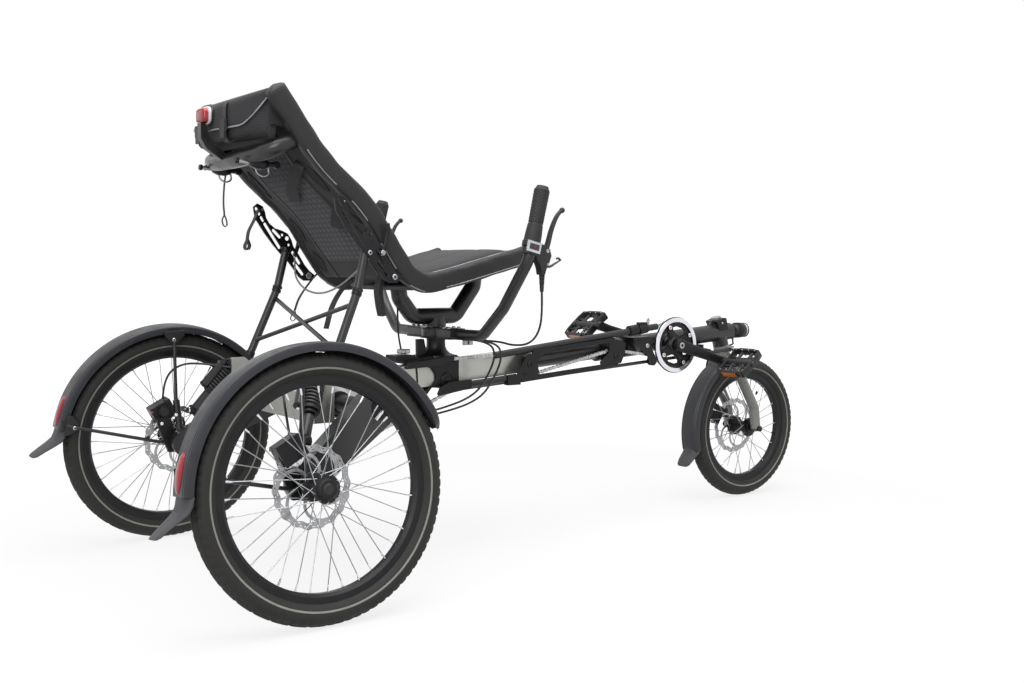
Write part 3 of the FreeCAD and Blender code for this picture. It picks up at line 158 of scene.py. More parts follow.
# Finishes: dark and light tone, roughness, grain and depth in millimetres
finishes = {
    # powder-coated aluminium: a faint orange peel and soft, wide highlights
    "silverCoat": finishMaterial("powderCoatedSilver", "#8f908a", "#9c9d97", 0.38, 1.6, 0.05, coat=0.15),
    # a lighter, more metallic copy of the silver powder coat, worn by the main tube and cross member: the
    # lighter colour is painted light for their bright flanks
    "litSilverCoat": finishMaterial("silverCoatLitCopy", "#aeafa9", "#babbb5", 0.36, 1.2, 0.04, metallic=0.8),
    "blackCoat": finishMaterial("powderCoatedBlack", "#1b1b1c", "#232325", 0.36, 1.6, 0.05, coat=0.1),
    # bead-blasted anodised aluminium: an even, fine grain with a dull metal sheen
    "blackAnodised": finishMaterial("anodisedBlack", "#1d1d1f", "#29292b", 0.42, 0.6, 0.03, metallic=0.6),
    # injection-moulded plastic: a half-matt skin, with slow changes of gloss
    "fenderPlastic": finishMaterial("mouldedPolycarbonate", "#222328", "#2b2c32", 0.42, 0.9, 0.04),
    "blackPlastic": finishMaterial("mouldedBlackNylon", "#18181a", "#222225", 0.5, 0.8, 0.06),
    # rubber pressed in a mould: nearly black and dull, so that only the tread's edges catch light
    "tyreRubber": finishMaterial("vulcanisedRubber", "#1d1c1b", "#2a2927", 0.72, 0.7, 0.08, spread=0.08),
    "gripRubber": finishMaterial("mouldedRubber", "#1a1a1b", "#242426", 0.66, 0.8, 0.06),
    # drawn, ground and plated steel: thin, hard highlights on a nearly smooth face
    "steelWire": finishMaterial("drawnStainlessSteel", "#8e9092", "#a9aaac", 0.28, 0.4, 0.01, metallic=1.0),
    "rotorSteel": finishMaterial("groundStainlessSteel", "#98989b", "#b2b2b4", 0.3, 0.5, 0.02, metallic=1.0),
    "chainSteel": finishMaterial("nickelPlatedSteel", "#a9a9ab", "#cfcfd1", 0.3, 0.5, 0.02, metallic=1.0),
    # polished aluminium: clear mirrors of the bright studio
    "polishedAluminium": finishMaterial("polishedAluminium", "#d2d2d8", "#e6e6ec", 0.16, 0.8, 0.01,
                                        metallic=1.0),
    # extruded jacket: one narrow line of light along each hose
    "hoseJacket": finishMaterial("extrudedHoseJacket", "#161617", "#1e1e20", 0.45, 0.5, 0.02),
    # moulded acrylic: deep colour under a glossy skin
    "redLens": finishMaterial("mouldedRedAcrylic", "#980f18", "#b41a24", 0.2, 2.2, 0.5, coat=0.3),
    "amberLens": finishMaterial("mouldedAmberAcrylic", "#d86a08", "#f08818", 0.2, 1.6, 0.5, coat=0.5),
    "clearLens": finishMaterial("mouldedClearAcrylic", "#dfe2e6", "#f4f6f8", 0.1, 1.8, 0.3, coat=0.8),
    # woven and coated tapes: pale grey lines that stay dull away from a lamp
    "reflectiveTape": finishMaterial("reflectiveTape", "#8a8a84", "#a0a099", 0.4, 0.8, 0.04),
    "silverPiping": finishMaterial("wovenSilverPiping", "#8d8d90", "#b2b2b5", 0.5, 0.9, 0.1),
}


def wovenMaterial(name, dark, light, thread, depth, roughness, sheen=0.1, ribs="Y"):
    made, tree = newMaterial(name)
    place = addNode(tree, "ShaderNodeTexCoord")
    across = addNode(tree, "ShaderNodeTexWave", {"Scale": 1000 / thread / 6.28, "Distortion": 0.4,
                     "Detail Scale": 2}, {"Vector": place.outputs["Object"]}, bands_direction=ribs)
    along = addNode(tree, "ShaderNodeTexWave", {"Scale": 1000 / thread / 6.28, "Distortion": 0.4,
                    "Detail Scale": 2}, {"Vector": place.outputs["Object"]}, bands_direction="DIAGONAL")
    weave = addNode(tree, "ShaderNodeMath", links={0: across.outputs["Fac"], 1: along.outputs["Fac"]},
                    operation="MULTIPLY")
    cloud = addNode(tree, "ShaderNodeTexNoise", {"Scale": 14, "Detail": 4},
                    {"Vector": place.outputs["Object"]})
    blend = addNode(tree, "ShaderNodeMath", {1: 0.5}, {0: cloud.outputs["Fac"]}, operation="MULTIPLY")
    total = addNode(tree, "ShaderNodeMath", links={0: weave.outputs[0], 1: blend.outputs[0]}, operation="ADD")
    ramp = addNode(tree, "ShaderNodeValToRGB", links={"Fac": total.outputs[0]})
    ramp.color_ramp.elements[0].position = 0.15
    ramp.color_ramp.elements[0].color = colour(dark)
    ramp.color_ramp.elements[1].position = 0.95
    ramp.color_ramp.elements[1].color = colour(light)
    bump = addNode(tree, "ShaderNodeBump", {"Strength": 0.7, "Distance": depth / 1000},
                   {"Height": weave.outputs[0]})
    shader = addNode(tree, "ShaderNodeBsdfPrincipled",
                     {"Roughness": roughness, "Sheen Weight": sheen, "Sheen Roughness": 0.45},
                     {"Base Color": ramp.outputs["Color"], "Normal": bump.outputs["Normal"]})
    addNode(tree, "ShaderNodeOutputMaterial", links={"Surface": shader.outputs["BSDF"]})
    return made


# Fabrics: the weave breaks highlights into a soft bloom. The spacer mesh and the threads are drawn coarser
# than life, so that they show at this distance; the very dark cloth in the openings is painted shade, for the
# recess seen through a hem.
finishes["nylonFabric"] = wovenMaterial("wovenNylonCanvas", "#0e0e10", "#18181b", 1.6, 0.25, 0.55, 0.06)
finishes["cushionFabric"] = wovenMaterial("wovenPolyesterCover", "#1b1b1d", "#2f2f32", 1.4, 0.2, 0.75)
finishes["spacerMesh"] = wovenMaterial("wovenSpacerMesh", "#4c4c50", "#74747a", 5.0, 0.35, 0.85, 0.1, "Z")
# painted shade: nearly black cloth laid in the hemmed openings of the seat back, where the recess is in shade
finishes["shadedLining"] = wovenMaterial("paintedOpeningShadeCloth", "#09090a", "#121214", 1.8, 0.1, 0.9)
finishes["webbing"] = wovenMaterial("wovenNylonWebbing", "#121213", "#202022", 1.8, 0.2, 0.65)
print("materials made")

# Which finish each CAD node wears that no piece below replaces
wears = {
    "silverCoat": ["fork"],
    # the main tube and cross member wear the lighter copy of the silver coat, painted light for their bright
    # flanks
    "litSilverCoat": ["rear_cross_member", "main_tube"],
    "blackCoat": ["boom", "swingarms", "seat_struts", "steering_bar", "rear_loop", "seat_carrier",
                  "tie_rod", "steering_column", "fender_stays"],
    "blackAnodised": ["pivot_tube", "chain_adjuster", "derailleur", "front_axle", "rear_left_rim",
                      "rear_right_rim", "front_rim", "rear_calipers", "front_caliper"],
    "blackPlastic": ["chain_tubes", "guide_wheels"],
    "chainSteel": ["sprockets"],
}
for finish, named in wears.items():
    for name in named:
        nodes[name].data.materials.clear()
        nodes[name].data.materials.append(finishes[finish])

# Small rounds on the edges of the machined and welded pieces
softened = {"main_tube": 5, "rear_cross_member": 4, "swingarms": 8, "steering_bar": 1.5, "rear_loop": 1,
            "chain_adjuster": 0.8, "derailleur": 0.6, "rear_calipers": 3, "front_caliper": 2}
for name, radius in softened.items():
    weld = nodes[name].modifiers.new("weld", "WELD")
    weld.merge_threshold = 0.00002
    rounded = nodes[name].modifiers.new("edgeRound", "BEVEL")
    rounded.width = radius / 1000
    rounded.segments = 3
    rounded.limit_method = "ANGLE"
    rounded.angle_limit = math.radians(38)
    rounded.harden_normals = True
print("frame finished")


# Mesh helpers: rings of points are skinned into bars, shells and tyres
def skin(bm, rings, loop=True, wrap=False, caps=True, index=0, finish=None):
    rows = [[bm.verts.new(p) for p in ring] for ring in rings]
    pairs = list(zip(rows, rows[1:])) + ([(rows[-1], rows[0])] if wrap else [])
    count = len(rows[0])
    for step, (low, high) in enumerate(pairs):
        for i in range(count if loop else count - 1):
            j = (i + 1) % count
            face = bm.faces.new((low[i], low[j], high[j], high[i]))
            face.material_index = finish(step, i) if finish else index
    if caps and loop and not wrap:
        bm.faces.new(rows[0][::-1]).material_index = index
        bm.faces.new(rows[-1]).material_index = index
    return rows


def circlePoints(centre, across, upward, radius, count, start=0.0):
    return [centre + across * (radius * math.cos(start + 2 * math.pi * i / count))
            + upward * (radius * math.sin(start + 2 * math.pi * i / count)) for i in range(count)]


def sideways(along):
    along = along.normalized()
    helper = zAxis if abs(along.z) < 0.9 else xAxis
    across = along.cross(helper).normalized()
    return across, across.cross(along).normalized()


def heading(path, i):
    return (path[min(i + 1, len(path) - 1)] - path[max(i - 1, 0)]).normalized()


def signedPower(value, power):
    return math.copysign(abs(value) ** power, value)


def addBar(bm, start, end, radius, count=16, tip=None, index=0):
    across, upward = sideways(end - start)
    tip = radius if tip is None else tip
    along = (end - start).normalized()
    soft = min(0.15 * radius, 0.0012)
    rings = [circlePoints(start, across, upward, radius - soft, count),
             circlePoints(start + along * soft, across, upward, radius, count),
             circlePoints(end - along * soft, across, upward, tip, count),
             circlePoints(end, across, upward, tip - soft, count)]
    skin(bm, rings, index=index)


def smoothPath(points, share=0.4, steps=7):
    found = [points[0]]
    for before, corner, after in zip(points, points[1:], points[2:]):
        reach = share * min((before - corner).length, (after - corner).length)
        start = corner + (before - corner).normalized() * reach
        end = corner + (after - corner).normalized() * reach
        for i in range(steps + 1):
            t = i / steps
            found.append(start * (1 - t) ** 2 + corner * (2 * t * (1 - t)) + end * t ** 2)
    found.append(points[-1])
    return found


def addTube(bm, points, radius, count=14, index=0, flat=1.0, closed=False):
    rings = []
    across, upward = sideways(points[1] - points[0])
    total = len(points)
    for i, point in enumerate(points):
        along = (points[(i + 1) % total] - points[i - 1]).normalized() if closed else heading(points, i)
        across = (across - along * across.dot(along)).normalized()
        upward = across.cross(along).normalized()
        size = radius(i / (total - 1)) if callable(radius) else radius
        rings.append([point + across * (size * math.cos(2 * math.pi * k / count))
                      + upward * (size * flat * math.sin(2 * math.pi * k / count)) for k in range(count)])
    skin(bm, rings, wrap=closed, index=index)


def addBlock(bm, centre, size, turn=None, index=0):
    half = [c / 2 for c in size]
    corners = [Vector((x * half[0], y * half[1], z * half[2])) for x in (-1, 1) for y in (-1, 1)
               for z in (-1, 1)]
    if turn:
        corners = [turn @ c for c in corners]
    verts = [bm.verts.new(centre + c) for c in corners]
    for quad in ((0, 1, 3, 2), (4, 6, 7, 5), (0, 4, 5, 1), (2, 3, 7, 6), (0, 2, 6, 4), (1, 5, 7, 3)):
        face = bm.faces.new([verts[i] for i in quad])
        face.material_index = index


def addPlate(bm, outline, low, high, index=0):
    rows = [[bm.verts.new(Vector((p.x, y, p.z))) for p in outline] for y in (low, high)]
    count = len(outline)
    for i in range(count):
        j = (i + 1) % count
        bm.faces.new((rows[0][i], rows[0][j], rows[1][j], rows[1][i])).material_index = index
    bm.faces.new(rows[0][::-1]).material_index = index
    bm.faces.new(rows[1]).material_index = index


# A cut plate is a flat outline with its holes, lying in the XZ plane between two values of Y
onFrame = Matrix.Translation(spot(0, 0, 0))


def roundHole(x, z, radius, count=20):
    return [(x + radius * math.cos(2 * math.pi * i / count), z + radius * math.sin(2 * math.pi * i / count))
            for i in range(count)]


def slotHole(x0, z0, x1, z1, half, count=8):
    turn = math.atan2(z1 - z0, x1 - x0)
    ends = [(x1, z1, turn - math.pi / 2), (x0, z0, turn + math.pi / 2)]
    return [(x + half * math.cos(start + math.pi * i / count),
             z + half * math.sin(start + math.pi * i / count))
            for x, z, start in ends for i in range(count + 1)]


def addCutPlate(bm, outline, holes, low, high, bevel=0.5, index=0, turn=None):
    data = bpy.data.curves.new("cutPlate", "CURVE")
    data.dimensions = "2D"
    data.fill_mode = "BOTH"
    data.extrude = (high - low) / 2000 - bevel / 1000
    data.bevel_depth = bevel / 1000
    data.offset = -bevel / 1000
    for loop in [outline] + holes:
        spline = data.splines.new("POLY")
        spline.points.add(len(loop) - 1)
        for point, (x, z) in zip(spline.points, loop):
            point.co = (x / 1000, z / 1000, 0, 1)
        spline.use_cyclic_u = True
    carrier = bpy.data.objects.new("cutPlate", data)
    mesh = bpy.data.meshes.new_from_object(carrier)
    upright = Matrix(((1, 0, 0, 0), (0, 0, -1, (low + high) / 2000), (0, 1, 0, 0), (0, 0, 0, 1)))
    mesh.transform((turn or Matrix.Identity(4)) @ upright)
    mesh.materials.clear()
    first = len(bm.faces)
    bm.from_mesh(mesh)
    bm.faces.ensure_lookup_table()
    for face in bm.faces[first:]:
        face.material_index = index
    bmesh.ops.remove_doubles(bm, verts=bm.verts, dist=0.00001)
    bpy.data.objects.remove(carrier)
    bpy.data.curves.remove(data)
    bpy.data.meshes.remove(mesh)


def addPart(bm, part):
    mesh = bpy.data.meshes.new("part")
    part.to_mesh(mesh)
    part.free()
    bm.from_mesh(mesh)
    bpy.data.meshes.remove(mesh)


def addPiece(name, bm, looks, body, stands=(), sharp=35, round=0.0, levels=0):
    bmesh.ops.recalc_face_normals(bm, faces=bm.faces)
    mesh = bpy.data.meshes.new(name)
    bm.to_mesh(mesh)
    bm.free()
    for look in looks:
        mesh.materials.append(finishes[look])
    mesh.shade_smooth()
    mesh.set_sharp_from_angle(angle=math.radians(sharp))
    piece = bpy.data.objects.new(name, mesh)
    scene.collection.objects.link(piece)
    if round:
        rounded = piece.modifiers.new("edgeRound", "BEVEL")
        rounded.width = round / 1000
        rounded.segments = 2
        rounded.limit_method = "ANGLE"
        rounded.angle_limit = math.radians(40)
        rounded.harden_normals = True
    if levels:
        smooth = piece.modifiers.new("smoothed", "SUBSURF")
        smooth.levels = smooth.render_levels = levels
    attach(piece, body)
    if stands:
        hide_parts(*stands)
    return piece


# Wheels. A wheel's own frame: its axle is Y, with +Y towards the outer side of the left wheel.
rearWheel = {"hub": (0, 408, 249.76), "lean": 5.3, "mirror": 1, "radius": 250, "body": "rear_left_wheel",
             "holes": 36, "bed": 189, "flanges": (-30, 17)}
wheels = {
    "rear_left": rearWheel,
    "rear_right": dict(rearWheel, mirror=-1, body="rear_right_wheel"),
    "front": {"hub": (1540, 0, 200), "lean": 0, "mirror": 1, "radius": 200, "body": "front_wheel",
              "holes": 28, "bed": 139, "flanges": (-25.5, 25.5)},
}
tyreLook = {"section": 47, "blockPitch": 19.0, "groove": 1.8, "grooved": (-40, -34, -17, -12, 12, 17, 34, 40),
            "angles": (-146, -136, -126, -118, -110.5, -101.5, -92, -80, -68, -56, -46, -40, -34, -24, -17,
                       -12, -5, 5, 12, 17, 24, 34, 40, 46, 56, 68, 80, 92, 101.5, 110.5, 118, 126, 136, 146)}
rotorLook = {"radius": 80, "waves": 18, "band": 14, "thick": 1.8, "offset": -44, "frontOffset": 32}


def wheelMatrix(wheel):
    turn = Matrix.Rotation(math.radians(wheel["lean"]), 4, "X")
    flip = Matrix.Diagonal((1, wheel["mirror"], 1, 1))
    return flip @ Matrix.Translation(spot(*wheel["hub"])) @ turn


def onWheel(radius, angle, y):
    return Vector((radius * math.cos(angle) / 1000, y / 1000, radius * math.sin(angle) / 1000))


def makeTyre(name, wheel):
    bm = bmesh.new()
    half = tyreLook["section"] / 2
    middle = wheel["radius"] - half
    blocks = round(2 * math.pi * wheel["radius"] / tyreLook["blockPitch"])
    steps = blocks * 4
    rings = []
    for step in range(steps):
        turn = 2 * math.pi * step / steps
        ring = []
        for a in tyreLook["angles"]:
            t = math.radians(a)
            swell = half
            if a in tyreLook["grooved"]:
                swell -= tyreLook["groove"] * 0.8
            if 20 < abs(a) < 57 and (step + (1 if a > 0 else 3)) % 4 == 0:
                swell -= tyreLook["groove"]
            if abs(a) < 8 and step % 8 == 0:
                swell -= tyreLook["groove"] * 0.7
            crown = 1 - 0.018 * math.cos(t) ** 4 if abs(a) < 30 else 1
            ring.append(onWheel(middle + swell * math.cos(t) * crown, turn, swell * math.sin(t)))
        for y in (9, 4, -4, -9):
            ring.append(onWheel(middle - half + 6.6, turn, y))
        rings.append(ring)

    def pick(step, i):
        return 1 if i in (4, 28) else 0
    skin(bm, rings, wrap=True, finish=pick)
    bm.transform(wheelMatrix(wheel))
    addPiece(name + "_tyre_treaded", bm, ["tyreRubber", "reflectiveTape"], wheel["body"],
             [name + "_tyre"], sharp=32)


def makeRotor(name, wheel):
    bm = bmesh.new()
    steps = rotorLook["waves"] * 8
    thick = rotorLook["thick"] / 2
    y = rotorLook["frontOffset"] if name == "front" else rotorLook["offset"]
    inner = rotorLook["radius"] - rotorLook["band"]
    levels = (0.0, 0.2, 0.42, 0.62, 0.8, 1.0)

    def radius(level, turn):
        wave = math.cos(turn * rotorLook["waves"])
        low = inner + 1.4 * wave
        high = rotorLook["radius"] - 1.6 + 1.6 * wave
        return low + (high - low) * level
    for side in (-1, 1):
        rows = [[bm.verts.new(onWheel(radius(k, 2 * math.pi * (i + 1.5 * (n == 2 or n == 3)) / steps),
                                      2 * math.pi * i / steps, y + side * thick)) for i in range(steps)]
                for n, k in enumerate(levels)]
        if side < 0:
            back = rows
    front = rows
    kept = {}
    for n in range(len(levels) - 1):
        for i in range(steps):
            phase = i % 8
            kept[n, i] = (n, phase) not in ((1, 1), (1, 2), (3, 3), (3, 4), (2, 6))
    for (n, i), keep in kept.items():
        if not keep:
            continue
        j = (i + 1) % steps
        bm.faces.new((front[n][i], front[n][j], front[n + 1][j], front[n + 1][i]))
        bm.faces.new((back[n][i], back[n + 1][i], back[n + 1][j], back[n][j]))
        edges = (((n - 1, i), (n, i), (n, j)), ((n + 1, i), (n + 1, i), (n + 1, j)))
        for (other, a, b) in edges:
            if not kept.get(other, False):
                bm.faces.new((front[a[0]][a[1]], back[a[0]][a[1]], back[b[0]][b[1]], front[b[0]][b[1]]))
        for other, at in ((kept[n, (i - 1) % steps], i), (kept[n, j], j)):
            if not other:
                bm.faces.new((front[n][at], back[n][at], back[n + 1][at], front[n + 1][at]))
    for arm in range(6):
        start = math.pi * 2 * arm / 6
        points = [onWheel(24 + (inner + 3 - 24) * t, start + 0.85 * t * t, y)
                  for t in [k / 8 for k in range(9)]]
        rings = []
        for i, point in enumerate(points):
            along = heading(points, i)
            across = along.cross(yAxis) * (0.0042 - 0.0014 * math.sin(math.pi * i / 8))
            rings.append([point + across + Vector((0, s * thick * 0.9 / 1000, 0)) for s in (-1, 1)]
                         + [point - across + Vector((0, s * thick * 0.9 / 1000, 0)) for s in (1, -1)])
        skin(bm, rings)
    rings = []
    for r, side in ((21.3, -1), (28, -1), (28, 1), (21.3, 1)):
        rings.append([onWheel(r, 2 * math.pi * i / 48, y + side * thick) for i in range(48)])
    skin(bm, rings, wrap=True)
    for bolt in range(6):
        foot = onWheel(24.6, 2 * math.pi * (bolt + 0.5) / 6, y)
        addBar(bm, foot + Vector((0, -0.0032, 0)), foot + Vector((0, 0.0032, 0)), 0.0033, 8, index=1)
    bm.transform(wheelMatrix(wheel))
    addPiece(name + "_rotor_drilled", bm, ["rotorSteel", "blackAnodised"], wheel["body"],
             [name + "_rotor"], sharp=30)


def makeWheelTrim(name, wheel):
    bm = bmesh.new()
    count, bed = wheel["holes"], wheel["bed"]
    reach = 4.2 if name == "front" else 4
    for i in range(count):
        turn = 2 * math.pi * i / count
        side = 1 if i % 2 else -1
        addBar(bm, onWheel(bed - 1.2, turn, side * 3), onWheel(bed - 14, turn, side * reach), 0.0021, 8,
               0.0016)
    valve = 2 * math.pi * 4.5 / count
    addBar(bm, onWheel(bed, valve, 0), onWheel(bed - 26, valve, 0), 0.003, 10, index=0)
    addBar(bm, onWheel(bed - 24, valve, 0), onWheel(bed - 34, valve, 0), 0.0036, 10, 0.0028, index=1)
    for side in (-1, 1):
        rings = []
        for r, y in ((bed + 17, 12.55), (bed + 18.5, 12.9), (bed + 19.8, 12.6)):
            rings.append([onWheel(r, 2 * math.pi * i / 120, side * y) for i in range(120)])
        skin(bm, rings, caps=False, index=2)
    bm.transform(wheelMatrix(wheel))
    addPiece(name + "_nipples_valve", bm, ["polishedAluminium", "blackPlastic", "blackAnodised"],
             wheel["body"])


# Hub shells: the radius and the side of each step along the axle
rearHub = [(8.1, -46), (21, -46), (21, -33), (27, -31.5), (27, -28.5), (20, -26), (17, -20), (17, 10),
           (20, 14), (27, 15.5), (27, 18.5), (22, 20), (20, 24), (17, 27), (8.1, 27)]
frontHub = [(8.1, -34), (15, -34), (16, -33), (16, -29), (27, -27), (27, -24), (19, -22), (16, -12), (16, 12),
            (19, 22), (27, 24), (27, 27), (21, 28), (21, 31), (8.1, 31)]


def makeHub(name, wheel):
    bm = bmesh.new()
    outline = frontHub if name == "front" else rearHub
    rings = [[onWheel(r, 2 * math.pi * i / 40, y) for i in range(40)] for r, y in outline]
    skin(bm, rings, caps=False)
    if name != "front":
        addBar(bm, onWheel(0, 0, 25), onWheel(0, 0, 29), 0.012, 24, 0.010, index=1)
    bm.transform(wheelMatrix(wheel))
    addPiece(name + "_hub_shell", bm, ["blackAnodised", "blackPlastic"], wheel["body"], sharp=28)


for name, wheel in wheels.items():
    makeTyre(name, wheel)
    makeRotor(name, wheel)
    makeWheelTrim(name, wheel)
    makeHub(name, wheel)
print("wheels dressed")


def curvePath(points, steps=10):
    ends = [points[0] * 2 - points[1]] + list(points) + [points[-1] * 2 - points[-2]]
    found = []
    for a, b, c, d in zip(ends, ends[1:], ends[2:], ends[3:]):
        for i in range(steps):
            t = i / steps
            found.append(b + (c - a) * (0.5 * t) + (a * 2 - b * 5 + c * 4 - d) * (0.5 * t * t)
                         + (b * 3 - a - c * 3 + d) * (0.5 * t * t * t))
    found.append(points[-1])
    return found


def evenPath(points, spacing):
    reach = [0.0]
    for a, b in zip(points, points[1:]):
        reach.append(reach[-1] + (b - a).length)
    count = max(2, round(reach[-1] / spacing))
    found, at = [], 0
    for i in range(count + 1):
        want = reach[-1] * i / count
        while at < len(points) - 2 and reach[at + 1] < want:
            at += 1
        share = (want - reach[at]) / max(reach[at + 1] - reach[at], 1e-9)
        found.append(points[at].lerp(points[at + 1], min(max(share, 0), 1)))
    return found


def addPadBar(bm, points, halfWide, halfDeep, across=yAxis, power=3.2, count=28, ripple=0.0,
              dome=0.6, index=0):
    rings = []
    for i, point in enumerate(points):
        along = heading(points, i)
        normal = along.cross(across).normalized()
        side = normal.cross(along).normalized()
        ring = []
        for k in range(count):
            turn = 2 * math.pi * (k + 0.5) / count
            c, s = math.cos(turn), math.sin(turn)
            u = signedPower(c, 2 / power) * halfWide
            v = signedPower(s, 2 / power) * halfDeep
            crease = ripple * (math.sin(i * 0.55 + 3.1 * math.sin(turn)) * math.sin(i * 0.173 + turn * 2)
                               + 0.6 * math.sin(i * 0.93 - turn * 3 + 1.3))
            swell = 1 + crease / max(halfWide, halfDeep)
            ring.append((side * u + normal * v) * (swell / 1000))
        rings.append((point, along, ring))
    body = []
    depth = dome * min(halfWide, halfDeep) / 1000
    for share in (0.0, 0.45, 0.8):
        point, along, ring = rings[0]
        scale = math.sqrt(1 - (1 - share) ** 2) * 0.75 + 0.25 * share
        body.append([point - along * (depth * (1 - share)) + p * max(scale, 0.2) for p in ring])
    body += [[point + p for p in ring] for point, along, ring in rings]
    for share in (0.8, 0.45, 0.0):
        point, along, ring = rings[-1]
        scale = math.sqrt(1 - (1 - share) ** 2) * 0.75 + 0.25 * share
        body.append([point + along * (depth * (1 - share)) + p * max(scale, 0.2) for p in ring])
    skin(bm, body, index=index)


# Seat: fabric-covered side tubes, an open mesh back with dark borders, and a padded base
seat = {"rail": [(12, 1000), (112, 862), (208, 785), (306, 640), (352, 618), (430, 634), (622, 684)],
        "railSide": 186, "railHalf": (15.2, 21.2), "back": [(34, 950), (100, 856), (196, 775), (296, 632)],
        "backHalf": 170, "lightHalf": 100, "sag": 9,
        "openings": [(0.25, 0.44, 130, 157), (0.6, 0.76, 134, 166), (0.83, 0.95, 128, 162)],
        "piping": ((0.16, 0.29, 0.80), (0.33, 0.41, 0.86), (0.47, 0.56, 0.88), (0.60, 0.655, 0.9),
                   (0.70, 0.98, 0.72)),
        "base": [(345, 606), (430, 622), (610, 669)],
        "cushion": [(364, 627), (430, 640), (592, 682)], "cushionHalf": 163, "cushionDeep": 25}


def sidePath(points, y, spacing=0.008, share=0.42):
    return evenPath(smoothPath([spot(x, y, z) for x, z in points], share), spacing)


def makeSeatRails():
    for side, label in ((1, "left"), (-1, "right")):
        bm = bmesh.new()
        path = sidePath(seat["rail"], side * seat["railSide"])
        addPadBar(bm, path, *seat["railHalf"], power=3.4, ripple=0.55)
        wide, deep = seat["railHalf"]
        total = len(path)
        # reflective piping sewn into the outer edge, which shows in dashes between the creases
        for start, end, v in seat["piping"]:
            line = []
            for i in range(int(start * total), int(end * total)):
                along = heading(path, i)
                normal = along.cross(yAxis).normalized()
                outward = Vector((0, side, 0))
                reach = 1 - abs(v) ** 3.4
                line.append(path[i] + outward * (wide * reach ** (1 / 3.4) / 1000 + 0.0003)
                            - normal * (deep * v / 1000))
            if len(line) > 3:
                addTube(bm, line, 0.0013, 8, index=1)
        addPiece("seat_rail_cover_" + label, bm, ["nylonFabric", "silverPiping"], "frame",
                 ["seat_rails"], sharp=50)
    bm = bmesh.new()
    bar = evenPath([spot(26, y, 979) for y in (-184, 184)], 0.008)
    addPadBar(bm, bar, 13.5, 16.5, across=xAxis, power=3, ripple=0.5)
    addPiece("seat_top_cover", bm, ["nylonFabric"], "frame", sharp=50)


def backPoint(path, row, u, lift=0.0):
    along = heading(path, row)
    normal = along.cross(yAxis).normalized()
    if normal.x > 0:
        normal = -normal
    sag = seat["sag"] * (1 - (u / seat["backHalf"]) ** 2) * math.sin(math.pi * (row / (len(path) - 1))) ** 0.7
    return path[row] + Vector((0, u / 1000, 0)) + normal * ((sag + lift) / 1000)


def makeSeatBack():
    bm = bmesh.new()
    path = sidePath(seat["back"], 0, 0.006, 0.45)
    half, light = seat["backHalf"], seat["lightHalf"]
    edges = [-half, -160, -148, -136, -124, -112, -105, -104, -98, -97, -light + 8, -75, -55, -35, -15, 0]
    edges = edges + [-u for u in reversed(edges[:-1])]
    rows = []
    for i, point in enumerate(path):
        ring = []
        for u in edges:
            rib = 1.6 if 97 <= abs(u) <= 105 and abs(u) not in (97, 105) else 0
            wave = 0.5 * math.sin(i * 0.7 + u * 0.11) if abs(u) > 105 else 0
            ring.append(backPoint(path, i, u, rib + wave))
        rows.append(ring)
    verts = [[bm.verts.new(p) for p in row] for row in rows]
    bottom = len(path) - 9
    for i in range(len(path) - 1):
        for j in range(len(edges) - 1):
            face = bm.faces.new((verts[i][j], verts[i][j + 1], verts[i + 1][j + 1], verts[i + 1][j]))
            middle = abs(edges[j] + edges[j + 1]) / 2
            border = 2 if middle < 105 and i < bottom else 1
            face.material_index = 0 if middle < 97 and 4 < i < bottom else border
    piece = addPiece("seat_back_sheet", bm, ["spacerMesh", "cushionFabric", "webbing"], "frame",
                     ["seat_back_mesh"], sharp=60)
    thick = piece.modifiers.new("clothThickness", "SOLIDIFY")
    thick.thickness = 0.003
    thick.offset = 0

    # hemmed openings in the border, where the back is laced to the side tubes; the dark patch inside each hem
    # is painted shade for the recess
    bm = bmesh.new()
    for side in (1, -1):
        for start, end, near, far in seat["openings"]:
            first, last = round(start * (len(path) - 1)), round(end * (len(path) - 1))
            edge, rings = [[], []], []
            for row in range(first, last + 1):
                t = (row - first) / (last - first)
                wide = math.sin(math.pi * min(max(t, 0.03), 0.97)) ** 0.75
                middle = (near + far) / 2 + 4 * (t - 0.5)
                us = [middle + k * wide * (far - near) / 2 for k in (-1, 1)]
                rings.append([backPoint(path, row, side * us[0], 2.0),
                              backPoint(path, row, side * us[1], 2.0),
                              backPoint(path, row, side * us[1], 2.6),
                              backPoint(path, row, side * us[0], 2.6)])
                edge[0].append(backPoint(path, row, side * us[0], 2.6))
                edge[1].append(backPoint(path, row, side * us[1], 2.6))
            skin(bm, rings)
            addTube(bm, edge[0] + edge[1][::-1], 0.0016, 8, index=1, closed=True)
    addPiece("seat_back_openings", bm, ["shadedLining", "cushionFabric"], "frame", sharp=60)


